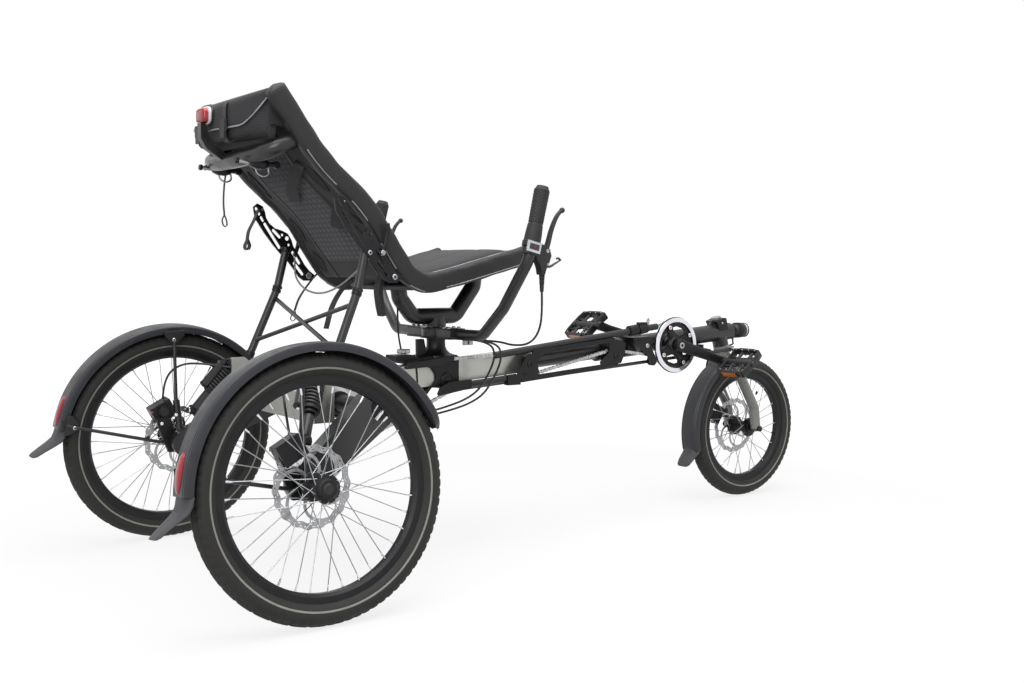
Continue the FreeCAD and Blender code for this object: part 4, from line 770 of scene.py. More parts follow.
def addPad(bm, path, half, deep, channels=(), count=36, ripple=0.5, index=0):
    rows = len(path)
    top, low = [], []
    for i, point in enumerate(path):
        along = heading(path, i)
        normal = along.cross(yAxis).normalized()
        if normal.z < 0:
            normal = -normal
        v = 2 * i / (rows - 1) - 1
        topRow, lowRow = [], []
        for k in range(count + 1):
            u = 2 * k / count - 1
            pinch = 1 - 0.035 * (1 - abs(v) ** 2) * abs(u) ** 4
            edge = max(0.0, (1 - abs(u) ** 7) * (1 - abs(v) ** 9)) ** 0.5
            crown = edge * (0.62 + 0.38 * (1 - abs(u) ** 2.4) * (1 - abs(v) ** 3))
            for groove in channels:
                crown -= 0.26 * math.exp(-((u - groove) * half / 4.5) ** 2) * edge
            crease = ripple * math.sin(i * 0.9 + u * 5) * math.sin(u * 9 + i * 0.31) * edge
            spread = Vector((0, u * half * pinch / 1000, 0))
            inside = 0 < k < count and 0 < i < rows - 1
            rise = deep * 0.5 + deep * 0.5 * crown + crease if inside else deep * 0.45
            topRow.append(point + spread + normal * (rise / 1000))
            lowRow.append(point + spread + normal * ((deep * 0.45 - deep * 0.45 * edge ** 0.5) / 1000))
        top.append([bm.verts.new(p) for p in topRow])
        low.append([bm.verts.new(p) if 0 < k < count and 0 < i < rows - 1 else top[-1][k]
                    for k, p in enumerate(lowRow)])
    for i in range(rows - 1):
        for k in range(count):
            face = bm.faces.new((top[i][k], top[i][k + 1], top[i + 1][k + 1], top[i + 1][k]))
            face.material_index = index
            face = bm.faces.new((low[i][k], low[i + 1][k], low[i + 1][k + 1], low[i][k + 1]))
            face.material_index = index
    rim = [top[0][k].co.copy() for k in range(count + 1)] + [top[i][count].co.copy() for i in range(1, rows)]
    rim += [top[-1][k].co.copy() for k in range(count - 1, -1, -1)]
    rim += [top[i][0].co.copy() for i in range(rows - 2, 0, -1)]
    return rim


def makeSeatBase():
    bm = bmesh.new()
    path = sidePath(seat["cushion"], 0, 0.009)
    rim = addPad(bm, path, seat["cushionHalf"], seat["cushionDeep"], (-0.36, 0.36))
    piece = addPiece("seat_cushion_padded", bm, ["cushionFabric"], "frame", ["seat_cushion"],
                     sharp=70, levels=1)
    bm = bmesh.new()
    addTube(bm, rim, 0.0017, 8, closed=True)
    addPiece("seat_cushion_piping", bm, ["silverPiping"], "frame", sharp=60)


makeSeatRails()
makeSeatBack()
makeSeatBase()


# Head bag: a sagging pouch on the top bar with a flap, silver piping, two buckled straps and a red light
bag = {"plan": [(24, 170), (6, 169), (-12, 154), (-24, 127), (-35, 96), (-42, 64), (-46, 28)],
       "swell": ((0.0, -9), (0.02, -3), (0.12, -0.4), (0.3, 0.8), (0.5, 0.2), (0.68, -0.4), (0.84, -0.3),
                 (0.95, -2.4), (1.0, -7)),
       "straps": (-72, 62), "strapWide": 19}


def bagOutline():
    return [(x, -y) for x, y in bag["plan"]] + [(x, y) for x, y in reversed(bag["plan"])]


def bagLevel(x, share):
    low = 906 + (x + 47) * 0.37 - 0.7 * max(0, x + 20)
    high = 978 + (x + 47) * 0.41
    return low + (high - low) * share


def makeHeadBag():
    bm = bmesh.new()
    flat = curvePath([Vector((x, y, 0)) for x, y in bagOutline()], 6)
    rings = []
    for share, grow in bag["swell"]:
        ring = []
        for i, p in enumerate(flat):
            fold = 0.9 * math.sin(i * 0.8 + share * 7) * math.sin(share * math.pi)
            x = p.x - grow - fold if p.x < 8 else p.x + min(grow, 0)
            y = p.y * (1 + (grow + fold) / 160)
            ring.append(spot(x, y, bagLevel(p.x, share)))
        rings.append(ring)
    skin(bm, rings)
    piece = addPiece("head_bag_shell", bm, ["cushionFabric"], "frame", ["head_bag"], sharp=60,
                     levels=1)

    # the flap lies over the top and down the back, its edge bound with silver piping
    bm = bmesh.new()
    count = len(flat)
    rows = [[] for step in range(9)]
    for i, p in enumerate(flat):
        toEnd = min(i, count - 1 - i) / (count - 1)
        reach = min(1, max(0, (toEnd - 0.015) / 0.25))
        drop = 0.05 + 0.66 * reach * reach * (3 - 2 * reach) - 0.07 * min(1, max(0, (toEnd - 0.27) / 0.2))
        for step in range(9):
            share = 1 - drop * step / 8
            out = 2.2 if step else 0.5
            x = p.x - out if p.x < 8 else p.x
            rows[step].append(spot(x, p.y * (1 + out / 160),
                                   bagLevel(p.x, min(share, 1.0)) + (1.6 if step == 0 else 0)))
    top = [[], []]
    for i, p in enumerate(flat):
        for n, shift in enumerate((0.0, 0.5)):
            x = p.x + (12.5 - p.x) * (1 - shift)
            rise = 2.2 + 2.0 * math.sin(math.pi * (i / (count - 1))) * (1 if n else 0.3)
            top[n].append(spot(x, p.y * (1 - 0.02 * n), bagLevel(x, 1.0) + rise))
    verts = [[bm.verts.new(v) for v in row] for row in top + rows]
    for low, high in zip(verts, verts[1:]):
        for i in range(count - 1):
            bm.faces.new((low[i], low[i + 1], high[i + 1], high[i]))
    piece = addPiece("head_bag_flap", bm, ["cushionFabric"], "frame", sharp=60)
    thick = piece.modifiers.new("clothThickness", "SOLIDIFY")
    thick.thickness = 0.0016
    thick.offset = 1
    bm = bmesh.new()
    edge = [Vector(v) + Vector((-0.0008, 0, 0)) for v in rows[-1]]
    addTube(bm, evenPath(edge, 0.004), 0.0019, 8)
    addPiece("head_bag_piping", bm, ["silverPiping"], "frame", sharp=60)

    # two straps hold the flap; each ends in a side-release buckle
    bm = bmesh.new()
    wide = bag["strapWide"]
    for y in bag["straps"]:
        x = -42.5 if abs(y) < 64 else -41
        addStrap(bm, [spot(6, y, 1003.5), spot(-20, y, 992), spot(x - 2, y, 981), spot(x - 5.5, y, 965),
                      spot(x - 6, y, 945), spot(x - 6, y, 930)], wide, 1.5, yAxis)
        addBlock(bm, spot(x - 8.5, y, 936), (0.006, 0.026, 0.024), index=1)
        addBlock(bm, spot(x - 9, y, 918), (0.005, 0.021, 0.014), index=1)
        addStrap(bm, [spot(x - 6, y, 926), spot(x - 5, y, 912), spot(x + 2, y, 903), spot(x + 18, y, 904)],
                 wide, 1.5, yAxis)
    addPiece("head_bag_straps", bm, ["webbing", "blackPlastic"], "frame", round=0.5)


def addStrap(bm, points, wide, thick, across, index=0, spacing=0.006):
    path = evenPath(curvePath(points, 8), spacing)
    rings = []
    for i, point in enumerate(path):
        along = heading(path, i)
        side = (across - along * across.dot(along)).normalized() * (wide / 2000)
        up = along.cross(side).normalized() * (thick / 2000)
        rings.append([point - side - up, point + side - up, point + side + up, point - side + up])
    skin(bm, rings, index=index)


# Each strap: its route, width, thickness and the direction across it
straps = (
    # webbing over the back of the mesh, and a short one towards its right edge
    ([(92, -134, 868), (84, -128, 850), (104, -60, 818), (140, 0, 795)], 24, 1.6, (0.8, -0.58, 0)),
    ([(172, -176, 790), (168, -150, 780), (182, -110, 752), (192, -88, 738)], 25, 1.8, (0.75, 0.1, -0.6)),
    # thin end with a loop, left of the middle
    ([(40, 118, 872), (27, 112, 850), (19, 104, 800), (19, 100, 766)], 7, 1.4, yAxis),
    ([(19, 100, 766), (13, 98, 754), (17, 97, 741), (24, 98, 744), (23, 100, 757), (19, 100, 766)], 6, 1.2,
     yAxis),
    # loose end at the left side tube, with its sewn loop
    ([(134, 186, 785), (124, 186, 762), (110, 186, 735), (106, 186, 712)], 16, 1.6, yAxis),
    ([(106, 186, 714), (100, 186, 700), (106, 186, 692), (112, 186, 702), (107, 186, 716)], 17, 1.8, yAxis),
    # lower thin end with a loop
    ([(262, 120, 652), (232, 120, 622), (204, 120, 585), (192, 120, 556)], 9, 1.4, yAxis),
    ([(192, 120, 556), (184, 120, 546), (182, 120, 533), (190, 120, 532), (195, 120, 544), (192, 120, 556)],
     4, 1.2, yAxis),
    # loose ends that hang from the seat's corner
    ([(282, -30, 634), (240, -30, 610), (212, -30, 570), (196, -30, 520)], 23, 1.8, yAxis),
    ([(276, -140, 640), (262, -146, 612), (262, -150, 580), (268, -150, 551)], 24, 9, yAxis),
)
backCable = {"route": [(226, 192, 676), (214, 160, 632), (214, 110, 604), (216, 40, 596), (218, -40, 610),
                       (224, -120, 645), (232, -180, 684)], "radius": 2.1}


def makeStraps():
    bm = bmesh.new()
    for route, wide, thick, across in straps:
        addStrap(bm, [spot(*p) for p in route], wide, thick, Vector(across))
    # gussets that close the corner between the bag and the side tubes
    for side in (1, -1):
        addBlock(bm, spot(26, side * 164, 953), (0.036, 0.024, 0.04))
    addPiece("seat_hanging_straps", bm, ["webbing"], "frame", sharp=50)
    bm = bmesh.new()
    cable = [spot(*p) for p in backCable["route"]]
    addTube(bm, evenPath(curvePath(cable, 8), 0.008), backCable["radius"] / 1000, 10)
    addPiece("seat_back_cable", bm, ["silverPiping"], "frame")


makeHeadBag()
makeStraps()
print("seat and bag made")


# Drive: a chain of real links over the ring, guide wheels and sprocket, the cranks and the pedals
drive = {"wheels": [(1222, 450.117, 68.8, 1), (1150, 561, 60, -1), (626, 505, 60, -1), (506, 382, 60, 1),
                    (205, 362, 42, 1), (232, 300, 17, -1), (215, 262, 17, 1), (545, 318, 60, -1),
                    (738, 413, 20, 1), (1000, 425, 20, -1), (1141, 411, 14, -1)],
         "chainY": -46, "pitch": 12.7, "teeth": 34, "ring": (1222, 450.117), "crankTurn": 17,
         "crankLong": 170, "crankSide": 69, "pedalSide": 130, "pedalTilt": -40, "guard": (62, 74), "arms": 4,
         "window": [(27, 0), (30, 14), (36, 23), (43, 29), (48.6, 27), (50, 12), (50, -12), (48.6, -27),
                    (43, -29), (36, -23), (30, -14)]}


def chainLoop():
    runs = []
    circles = drive["wheels"]
    for (ax, az, ar, a), (bx, bz, br, b) in zip(circles, circles[1:] + circles[:1]):
        span = math.hypot(bx - ax, bz - az)
        turn = math.atan2(bz - az, bx - ax) - math.asin((b * br - a * ar) / span)
        left = (-math.sin(turn), math.cos(turn))
        runs.append(((ax - left[0] * a * ar, az - left[1] * a * ar),
                     (bx - left[0] * b * br, bz - left[1] * b * br)))
    points = []
    for i, (x, z, r, sense) in enumerate(circles):
        entry, leave = runs[i - 1][1], runs[i][0]
        start = math.atan2(entry[1] - z, entry[0] - x)
        sweep = (math.atan2(leave[1] - z, leave[0] - x) - start) * sense % (2 * math.pi) * sense
        steps = max(2, int(abs(sweep) * r / 3))
        points += [spot(x + r * math.cos(start + sweep * k / steps), drive["chainY"],
                        z + r * math.sin(start + sweep * k / steps)) for k in range(steps + 1)]
    return points + [points[0]]


def plateOutline(a, b, high, waist, count=6):
    along = (b - a).normalized()
    up = along.cross(yAxis).normalized()
    found = []
    for centre, flip in ((a, -1), (b, 1)):
        for k in range(count + 1):
            turn = math.pi * (k / count - 0.5)
            found.append(centre + along * (flip * high * math.cos(turn))
                         + up * (flip * -high * math.sin(turn)))
        found.append((a + b) / 2 + up * (-flip * waist))
    return found


def makeChain():
    loop = evenPath(chainLoop(), 0.0005)
    total = len(loop) - 1
    count = round(total * 0.0005 / (drive["pitch"] / 1000) / 2) * 2
    pins = [loop[round(i * total / count)] for i in range(count)]
    bm = bmesh.new()
    for i, pin in enumerate(pins):
        after = pins[(i + 1) % count]
        outer = i % 2
        outline = plateOutline(pin, after, 0.0041, 0.0029)
        for low in ((-3.9, -3.0) if outer else (-2.9, -2.0), (3.0, 3.9) if outer else (2.0, 2.9)):
            addPlate(bm, outline, (drive["chainY"] + low[0]) / 1000, (drive["chainY"] + low[1]) / 1000,
                     index=outer)
        side = Vector((0, 0.001, 0))
        addBar(bm, pin - side * 1.95, pin + side * 1.95, 0.0038, 10, index=0)
        addBar(bm, pin - side * 4.2, pin + side * 4.2, 0.0018, 8, index=0)
    addPiece("chain_links", bm, ["chainSteel", "chainPlate"], "frame", ["chain"], sharp=40)


def disc(bm, centre, outline, count=64, index=0, bump=None):
    rings = []
    for r, y in outline:
        ring = []
        for i in range(count):
            turn = 2 * math.pi * i / count
            reach = r + (bump(turn, r) if bump else 0)
            ring.append(centre + Vector((reach * math.cos(turn), y, reach * math.sin(turn))) / 1000)
        rings.append(ring)
    return skin(bm, rings, wrap=True, index=index)


def makeRing():
    x, z = drive["ring"]
    centre = spot(x, 0, z)
    teeth = drive["teeth"]
    armTurn = 360 / drive["arms"]

    def tooth(turn, r):
        return 3.4 * max(0, math.cos(turn * teeth)) ** 1.5 if r > 66 else 0
    bm = bmesh.new()
    disc(bm, centre, [(58, -47.6), (67.5, -47.6), (67.9, -46), (67.5, -44.4), (58, -44.4)], teeth * 6,
         bump=tooth)
    disc(bm, centre, [(61, -50.6), (75.6, -50.4), (75.6, -49), (61, -49)], 96, index=1)
    windows = []
    for arm in range(drive["arms"]):
        middle = math.radians(armTurn * arm - drive["crankTurn"])
        windows.append([(x + r * math.cos(middle + math.radians(a)),
                         z + r * math.sin(middle + math.radians(a))) for r, a in drive["window"]])
    addCutPlate(bm, roundHole(x, z, 60, 72), windows + [roundHole(x, z, 12, 32)], -50.6, -47.7, 0.4, index=1,
                turn=onFrame)
    for arm in range(drive["arms"]):
        turn = math.radians(armTurn * (arm + 0.5) - drive["crankTurn"])
        out = Vector((math.cos(turn), 0, math.sin(turn)))
        points = [centre + out * (r / 1000) + Vector((0, -0.051, 0)) for r in (14, 24, 34, 44, 52)]
        widths = (13, 11, 9, 8.5, 9)
        rings = []
        for p, w in zip(points, widths):
            across = out.cross(yAxis) * (w / 1000)
            thick = Vector((0, 0.0028, 0))
            rings.append([p - across - thick * 0.6, p - across * 0.8 - thick, p + across * 0.8 - thick,
                          p + across - thick * 0.6, p + across + thick, p - across + thick])
        skin(bm, rings, index=1)
        foot = centre + out * 0.0535
        addBar(bm, foot + Vector((0, -0.0572, 0)), foot + Vector((0, -0.0440, 0)), 0.0062, 20, index=1)
        rings = [circlePoints(foot + Vector((0, -y, 0)), xAxis, zAxis, r, 20)
                 for r, y in ((0.0056, 0.0571), (0.0052, 0.0579), (0.0036, 0.0579), (0.0034, 0.0574),
                              (0.0004, 0.0574))]
        skin(bm, rings[:4], caps=False, index=3)
        skin(bm, rings[3:], caps=False, index=2)
    disc(bm, centre, [(11.5, -57.5), (20, -57), (24, -52), (26, -50), (26, -47.9), (11.5, -47.9)], 48,
         index=1)
    addPiece("chainring_spider", bm, ["chainSteel", "blackAnodised", "copperBolt", "polishedAluminium"],
             "cranks", ["chainring"], sharp=32)
    bm = bmesh.new()
    low, high = drive["guard"]
    disc(bm, centre, [(low, -54.7), (low + 0.5, -55.2), (high - 1.2, -55.2), (high, -54.2), (high, -52.0),
                      (high - 1, -51), (low, -51)], 128)
    for arm in range(drive["arms"]):
        turn = math.radians(armTurn * (arm + 0.5) - drive["crankTurn"])
        foot = centre + Vector((math.cos(turn), 0, math.sin(turn))) * 0.062
        addBar(bm, foot + Vector((0, -0.0512, 0)), foot + Vector((0, -0.0478, 0)), 0.004, 12, index=1)
    addPiece("chain_guard_ring", bm, ["polishedAluminium", "blackAnodised"], "cranks",
             ["chain_guard"], sharp=30)


def pedalSpot(side):
    turn = math.radians(drive["crankTurn"])
    x, z = drive["ring"]
    reach = drive["crankLong"] * (1 if side < 0 else -1)
    return x + reach * math.cos(turn), z - reach * math.sin(turn)


# Crank arms: half width and half depth with their taper and waist, the end bosses, the bolt's steps
crank = {"wide": 16.8, "taper": 6.4, "flare": 2.2, "thick": 7, "waist": 0.8, "inner": 16.5, "outer": 12.5,
         "bolt": ((8.6, 6), (8.6, 7.9), (7.8, 8.5), (4.2, 8.5), (4, 6.5))}


def makeCrank(side, label):
    x, z = drive["ring"]
    px, pz = pedalSpot(side)
    start = spot(x, side * drive["crankSide"], z)
    end = spot(px, side * drive["crankSide"], pz)
    along = (end - start).normalized()
    across = along.cross(yAxis)
    bm = bmesh.new()
    rings = []
    for t in [k / 24 for k in range(25)]:
        p = start.lerp(end, 0.02 + 0.96 * t)
        wide = crank["wide"] - crank["taper"] * t + crank["flare"] * max(0, (t - 0.82) / 0.18) ** 1.4
        thick = crank["thick"] - crank["waist"] * math.sin(math.pi * t)
        ring = []
        for k in range(20):
            turn = 2 * math.pi * (k + 0.5) / 20
            c, s = math.cos(turn), math.sin(turn)
            ring.append(p + across * (signedPower(c, 0.5) * wide / 1000)
                        + Vector((0, signedPower(s, 0.55) * thick / 1000, 0)))
        rings.append(ring)
    skin(bm, rings)
    for centre, radius in ((start, crank["inner"]), (end, crank["outer"])):
        rings = [circlePoints(centre + Vector((0, side * y / 1000, 0)), xAxis, zAxis, r / 1000, 36)
                 for r, y in ((radius - 1, -7), (radius, -6), (radius, 5.6), (radius - 1.6, 7),
                              (radius * 0.62, 7.2))]
        skin(bm, rings)
    if side > 0:
        addBar(bm, spot(x, -62, z), spot(x, 62, z), 0.011, 28)
    # crank bolt with its hexagon socket
    rings = [circlePoints(start + Vector((0, side * y / 1000, 0)), xAxis, zAxis, r / 1000, 24)
             for r, y in crank["bolt"]]
    skin(bm, rings, index=1)
    addPiece("crank_arm_" + label, bm, ["blackAnodised", "steelBolt"], "cranks", ["crank_" + label],
             sharp=36)


# Pedals: corners of the outer band, its half height and thickness in metres, and the ribs inside it
pedal = {"loop": [(43, -44), (43, 44), (24, 48), (-24, 48), (-43, 44), (-43, -44), (-24, -40), (24, -40)],
         "band": (0.0105, 0.0026),
         "section": ((-0.8, -1), (0.8, -1), (1, -0.6), (1, 0.6), (0.8, 1), (-0.8, 1), (-1, 0.6), (-1, -0.6)),
         "ribs": ((-42, -14, 42, -14), (-42, 22, 42, 22), (-18, -40, -12, 0), (18, -40, 12, 0),
                  (-12, 10, -22, 46), (12, 10, 22, 46)),
         "pins": [(x, y, flip) for x in (-40, 40) for y in (-34, -12, 12, 34) for flip in (-1, 1)]}


def makePedal(side, label):
    px, pz = pedalSpot(side)
    turn = Matrix.Rotation(math.radians(drive["pedalTilt"]), 3, "Y")
    centre = spot(px, side * drive["pedalSide"], pz)
    bm = bmesh.new()

    def at(x, y, z):
        return centre + turn @ Vector((x, y * side, z)) / 1000
    # outer frame: a closed band with rounded corners, two cross ribs and short traction pins
    high, thick = pedal["band"]
    for k, (x, y) in enumerate(pedal["loop"]):
        nx, ny = pedal["loop"][(k + 1) % 8]
        a, b = at(x, y, 0), at(nx, ny, 0)
        along = (b - a).normalized()
        up = turn @ zAxis
        out = along.cross(up).normalized()
        skin(bm, [[p + up * high * u + out * thick * v for u, v in pedal["section"]] for p in (a, b)])
    for x0, y0, x1, y1 in pedal["ribs"]:
        addTube(bm, [at(x0, y0, 0), at((x0 + x1) / 2, (y0 + y1) / 2, 1.5), at(x1, y1, 0)], 0.0052, 8,
                flat=0.8)
    for x, y, flip in pedal["pins"]:
        addBar(bm, at(x, y, flip * 8), at(x, y, flip * 12.6), 0.0021, 8, index=2)
    addBar(bm, at(0, -60, 0), at(0, 40, 0), 0.0098, 24)
    addBar(bm, at(0, 36, 0), at(0, 50, 0), 0.0125, 24, 0.0115)
    addBar(bm, at(0, 50, 0), at(0, 56, 0), 0.009, 20, 0.008)
    addBar(bm, at(0, -54, 0), at(0, -44, 0), 0.0075, 16, index=2)
    for flip in (-1, 1):
        addBlock(bm, at(flip * 45.6, 0, 0), (0.005, 0.056, 0.019), turn, index=0)
        addBlock(bm, at(flip * 48.4, 0, 0), (0.003, 0.048, 0.0125), turn, index=1)
    addPiece("pedal_cage_" + label, bm, ["blackPlastic", "amberLens", "steelBolt"], "pedal_" + label,
             ["pedal_" + label], sharp=36, round=0.5)


# plated and browned steel: the chain glints in dots; copper gives the ring's bolts a warm centre
finishes["chainPlate"] = finishMaterial("brownedSteelPlate", "#8d8d8f", "#b9b9bb", 0.34, 0.5, 0.02,
                                         metallic=1.0)
finishes["copperBolt"] = finishMaterial("copperPlatedSteel", "#b98d78", "#d8b19c", 0.3, 0.4, 0.02,
                                         metallic=1.0)
finishes["steelBolt"] = finishMaterial("zincPlatedSteel", "#8f9094", "#b8b9bd", 0.34, 0.4, 0.02, metallic=1.0)
makeChain()
makeRing()
for side, label in ((1, "left"), (-1, "right")):
    makeCrank(side, label)
    makePedal(side, label)
print("drive made")


# Steering bar's fittings: knurled grips with shifter windows, lever bodies, blades and their boots.
# The clamps and the window are given in metres.
cockpit = {"gripLow": (519, 345, 703), "gripHigh": (547, 345, 823), "gripRadius": 17, "collarShare": 0.36,
           "diamondRows": 17, "diamondsRound": 12, "knurl": 0.9,
           "blade": [(553, 684), (562, 706), (571, 735), (584, 762), (597, 777)],
           "clamps": ((0.0, 0.015, 0.0188), (0.0165, 0.013, 0.0205)),
           "window": (((0.035, 0.004, 0.023), 0.0, 2), ((0.0235, 0.0022, 0.0125), 0.0024, 1),
                      ((0.0045, 0.001, 0.0035), 0.0038, 4)),
           "body": [(524, 700), (535, 706), (548, 703), (562, 694), (566, 680), (560, 664), (552, 650),
                    (549, 640), (540, 640), (538, 652), (533, 664), (524, 676), (518, 688)],
           "boot": ((644, 6.2), (641, 6.4), (630, 5.8), (629, 5.2), (627, 5.6), (618, 5.0), (617, 4.4),
                    (615, 4.8), (604, 4.0), (603, 2.7))}


def gripPoint(side, share):
    low = Vector(cockpit["gripLow"])
    high = Vector(cockpit["gripHigh"])
    p = low.lerp(high, share)
    return spot(p.x, p.y * side, p.z)


def makeGrip(side, label):
    bm = bmesh.new()
    low, high = gripPoint(side, 0), gripPoint(side, 1)
    along = (high - low).normalized()
    across, upward = sideways(along)
    long = (high - low).length
    share = cockpit["collarShare"]
    around = cockpit["diamondsRound"] * 6
    rows = 74
    rings = []
    for i in range(rows + 1):
        t = i / rows
        if t < share:
            radius = cockpit["gripRadius"] + 1.6 - 2.4 * (t / share) ** 2
        else:
            radius = cockpit["gripRadius"] - 1.6 + 1.0 * (t - share) / (1 - share)
        ring = []
        for k in range(around):
            turn = 2 * math.pi * k / around
            swell = radius
            if t > share + 0.02 and t < 0.955:
                a = (t - share) * cockpit["diamondRows"] * math.pi
                ridge = abs(math.sin(a + turn * cockpit["diamondsRound"] / 2)) * abs(
                    math.sin(a - turn * cockpit["diamondsRound"] / 2))
                swell += cockpit["knurl"] * (1.6 * ridge - 0.3)
            if t > 0.955:
                swell += 0.5 - 4.5 * ((t - 0.955) / 0.045) ** 2
            if 0.02 < t < share - 0.03 and k % 6 == 0:
                swell -= 0.35
            ring.append(low + along * (long * t + 0.004 * (t == 1))
                        + (across * math.cos(turn) + upward * math.sin(turn)) * (swell / 1000))
        rings.append(ring)
    skin(bm, rings)
    addPiece("grip_" + label, bm, ["gripRubber"], "bar", ["grips"], sharp=28)


def makeLever(side, label):
    bm = bmesh.new()
    y = side * 345
    low, high = gripPoint(side, 0), gripPoint(side, 1)
    along = (high - low).normalized()
    foot = low - along * 0.022
    # clamp rings round the bar: the lever's and the shifter's, with their pinch bolts
    across, upward = sideways(along)
    for start, deep, radius in cockpit["clamps"]:
        a = foot + along * start
        rings = [circlePoints(a + along * (deep * t), across, upward, radius - r, 32)
                 for t, r in ((0, 0.0015), (0.08, 0), (0.92, 0), (1, 0.0015))]
        skin(bm, rings)
    # shifter window: a pale frame round a dark display on the outer side
    face = foot + along * 0.017 + Vector((-0.0065, side * 0.0195, 0))
    turn = Matrix((along.cross(yAxis), yAxis, along)).transposed()
    for size, depth, index in cockpit["window"]:
        addBlock(bm, face + Vector((0, side * depth, 0)), size, turn, index=index)
    # lever body, cast in one with the clamp
    rows = []
    for width in (-10.5, -9, 9, 10.5):
        shrink = 1.2 if abs(width) > 10 else 0
        middle = Vector((541, y, 676))
        rows.append([spot(middle.x + (x - middle.x) * (1 - shrink / 18), y + width,
                          middle.z + (z - middle.z) * (1 - shrink / 24)) for x, z in cockpit["body"]])
    skin(bm, rows)
    addBar(bm, spot(555, y - 11.5, 690), spot(555, y + 11.5, 690), 0.0042, 16, index=3)
    addBar(bm, spot(556, y - 10.8, 662), spot(556, y + 10.8, 662), 0.0032, 14, index=3)
    # brake blade, curved up to a ball end
    path = evenPath(curvePath([spot(x, y, z) for x, z in cockpit["blade"]]), 0.003)
    rings = []
    for i, p in enumerate(path):
        t = i / (len(path) - 1)
        normal = heading(path, i).cross(yAxis).normalized()
        wide = 7.4 - 2.2 * t
        thick = 5.4 - 1.8 * t
        rings.append([p + Vector((0, signedPower(math.cos(a), 0.7) * wide / 1000, 0))
                      + normal * (signedPower(math.sin(a), 0.8) * thick / 1000)
                      for a in [2 * math.pi * (k + 0.5) / 16 for k in range(16)]])
    skin(bm, rings)
    tip = path[-1]
    ball = bmesh.ops.create_uvsphere(bm, u_segments=18, v_segments=10, radius=0.0062)
    bmesh.ops.translate(bm, verts=ball["verts"], vec=tip + Vector((0.0035, 0, 0.0012)))
    # shift paddle in front of the body, and the boot where the hose leaves it
    paddle = evenPath(curvePath([spot(553, y, 662), spot(566, y, 657), spot(582, y, 664),
                                 spot(598, y, 672)]), 0.003)
    addTube(bm, paddle, lambda t: 0.0056 - 0.003 * t, 12, index=0, flat=0.55)
    addTube(bm, [spot(597, y, 671.5), spot(591, y, 675.5), spot(586, y, 674.5)], 0.0024, 8)
    rings = [circlePoints(spot(547, y, z), xAxis, yAxis, r / 1000, 20) for z, r in cockpit["boot"]]
    skin(bm, rings, index=5)
    addPiece("lever_and_shifter_" + label, bm,
             ["blackPlastic", "windowDark", "silverTrim", "steelBolt", "redLens", "gripRubber"], "bar",
             ["brake_levers"], sharp=40, round=0.6)


# chromed trim is a pale frame; tinted polycarbonate a dark, glossy pane
finishes["silverTrim"] = finishMaterial("chromedTrim", "#b9bac0", "#dcdde2", 0.24, 0.8, 0.01, metallic=0.9)
finishes["windowDark"] = finishMaterial("tintedPolycarbonate", "#16171a", "#232429", 0.14, 0.8, 0.01,
                                         coat=0.5)
for side, label in ((1, "left"), (-1, "right")):
    makeGrip(side, label)
    makeLever(side, label)


# Hoses: thin jackets on smooth lines; those that pass the steering pivot are turned into fixed meshes, tied
# to no body.
# The routes of the lever and rear caliper hoses are for the left side.
hoses = {"radius": 2.5, "order": 3,
         "lever": [(547, 345, 606), (549, 345, 560), (556, 325, 516), (574, 265, 486), (572, 205, 480),
                   (556, 178, 488), (532, 120, 489), (517, 62, 500)],
         "shifter": [(530, -96, 489), (566, -122, 484), (596, -104, 452), (594, -78, 404), (560, -66, 352),
                     (450, -64, 325), (330, -68, 312), (222, -71.3, 330)],
         "shifterBend": ((590, -90, 420), (560, -110, 486)),
         "brake": [(534, -112, 489), (576, -138, 484), (606, -116, 448), (604, -90, 400), (570, -76, 344),
                   (450, -76, 318), (330, -100, 318), (250, -150, 324), (212, -170, 342)],
         "brakeBend": ((600, -100, 420), (570, -130, 486)),
         "rearCaliper": [(-38, 350, 345), (-40, 335, 395), (-20, 280, 432), (20, 230, 434), (70, 202, 425)],
         "frontCaliper": [(1480, 46, 262), (1452, 50, 330), (1420, 34, 392), (1430, 18, 412)]}


def makeHose(name, route, body, stands=(), side=1, bend=None):
    data = bpy.data.curves.new(name + "Line", "CURVE")
    data.dimensions = "3D"
    line = data.splines.new("NURBS")
    line.points.add(len(route) - 1)
    for point, (x, y, z) in zip(line.points, route):
        point.co = (*spot(x, side * y, z), 1)
    line.order_u = hoses["order"]
    line.use_endpoint_u = True
    data.bevel_depth = hoses["radius"] / 1000
    data.bevel_resolution = 3
    data.resolution_u = 12
    data.use_fill_caps = True
    data.materials.append(finishes["hoseJacket"])
    hose = bpy.data.objects.new(name, data)
    scene.collection.objects.link(hose)
    if bend:
        depsgraph = bpy.context.evaluated_depsgraph_get()
        mesh = bpy.data.meshes.new_from_object(hose.evaluated_get(depsgraph))
        bpy.data.objects.remove(hose)
        mesh.shade_smooth()
        hose = bpy.data.objects.new(name, mesh)
        scene.collection.objects.link(hose)
        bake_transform(hose)
    else:
        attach(hose, body)
    if stands:
        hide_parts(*stands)


for side, label in ((1, "left"), (-1, "right")):
    makeHose("lever_hose_" + label, hoses["lever"], "bar", ["lever_hoses"], side)
makeHose("shifter_hose", hoses["shifter"], "frame", ["frame_hoses"], bend=hoses["shifterBend"])
makeHose("brake_hose_right", hoses["brake"], "frame", bend=hoses["brakeBend"])
for side, label in ((1, "left"), (-1, "right")):
    makeHose("caliper_hose_" + label, hoses["rearCaliper"], "frame", (), side)
makeHose("front_caliper_hose", hoses["frontCaliper"], "fork", ["fork_hose"])
print("cockpit made")


# soft moulded rubber: greyer and duller than the fender above it
finishes["flapRubber"] = finishMaterial("mouldedFlapRubber", "#3b3b3f", "#4a4a4e", 0.6, 0.9, 0.06)

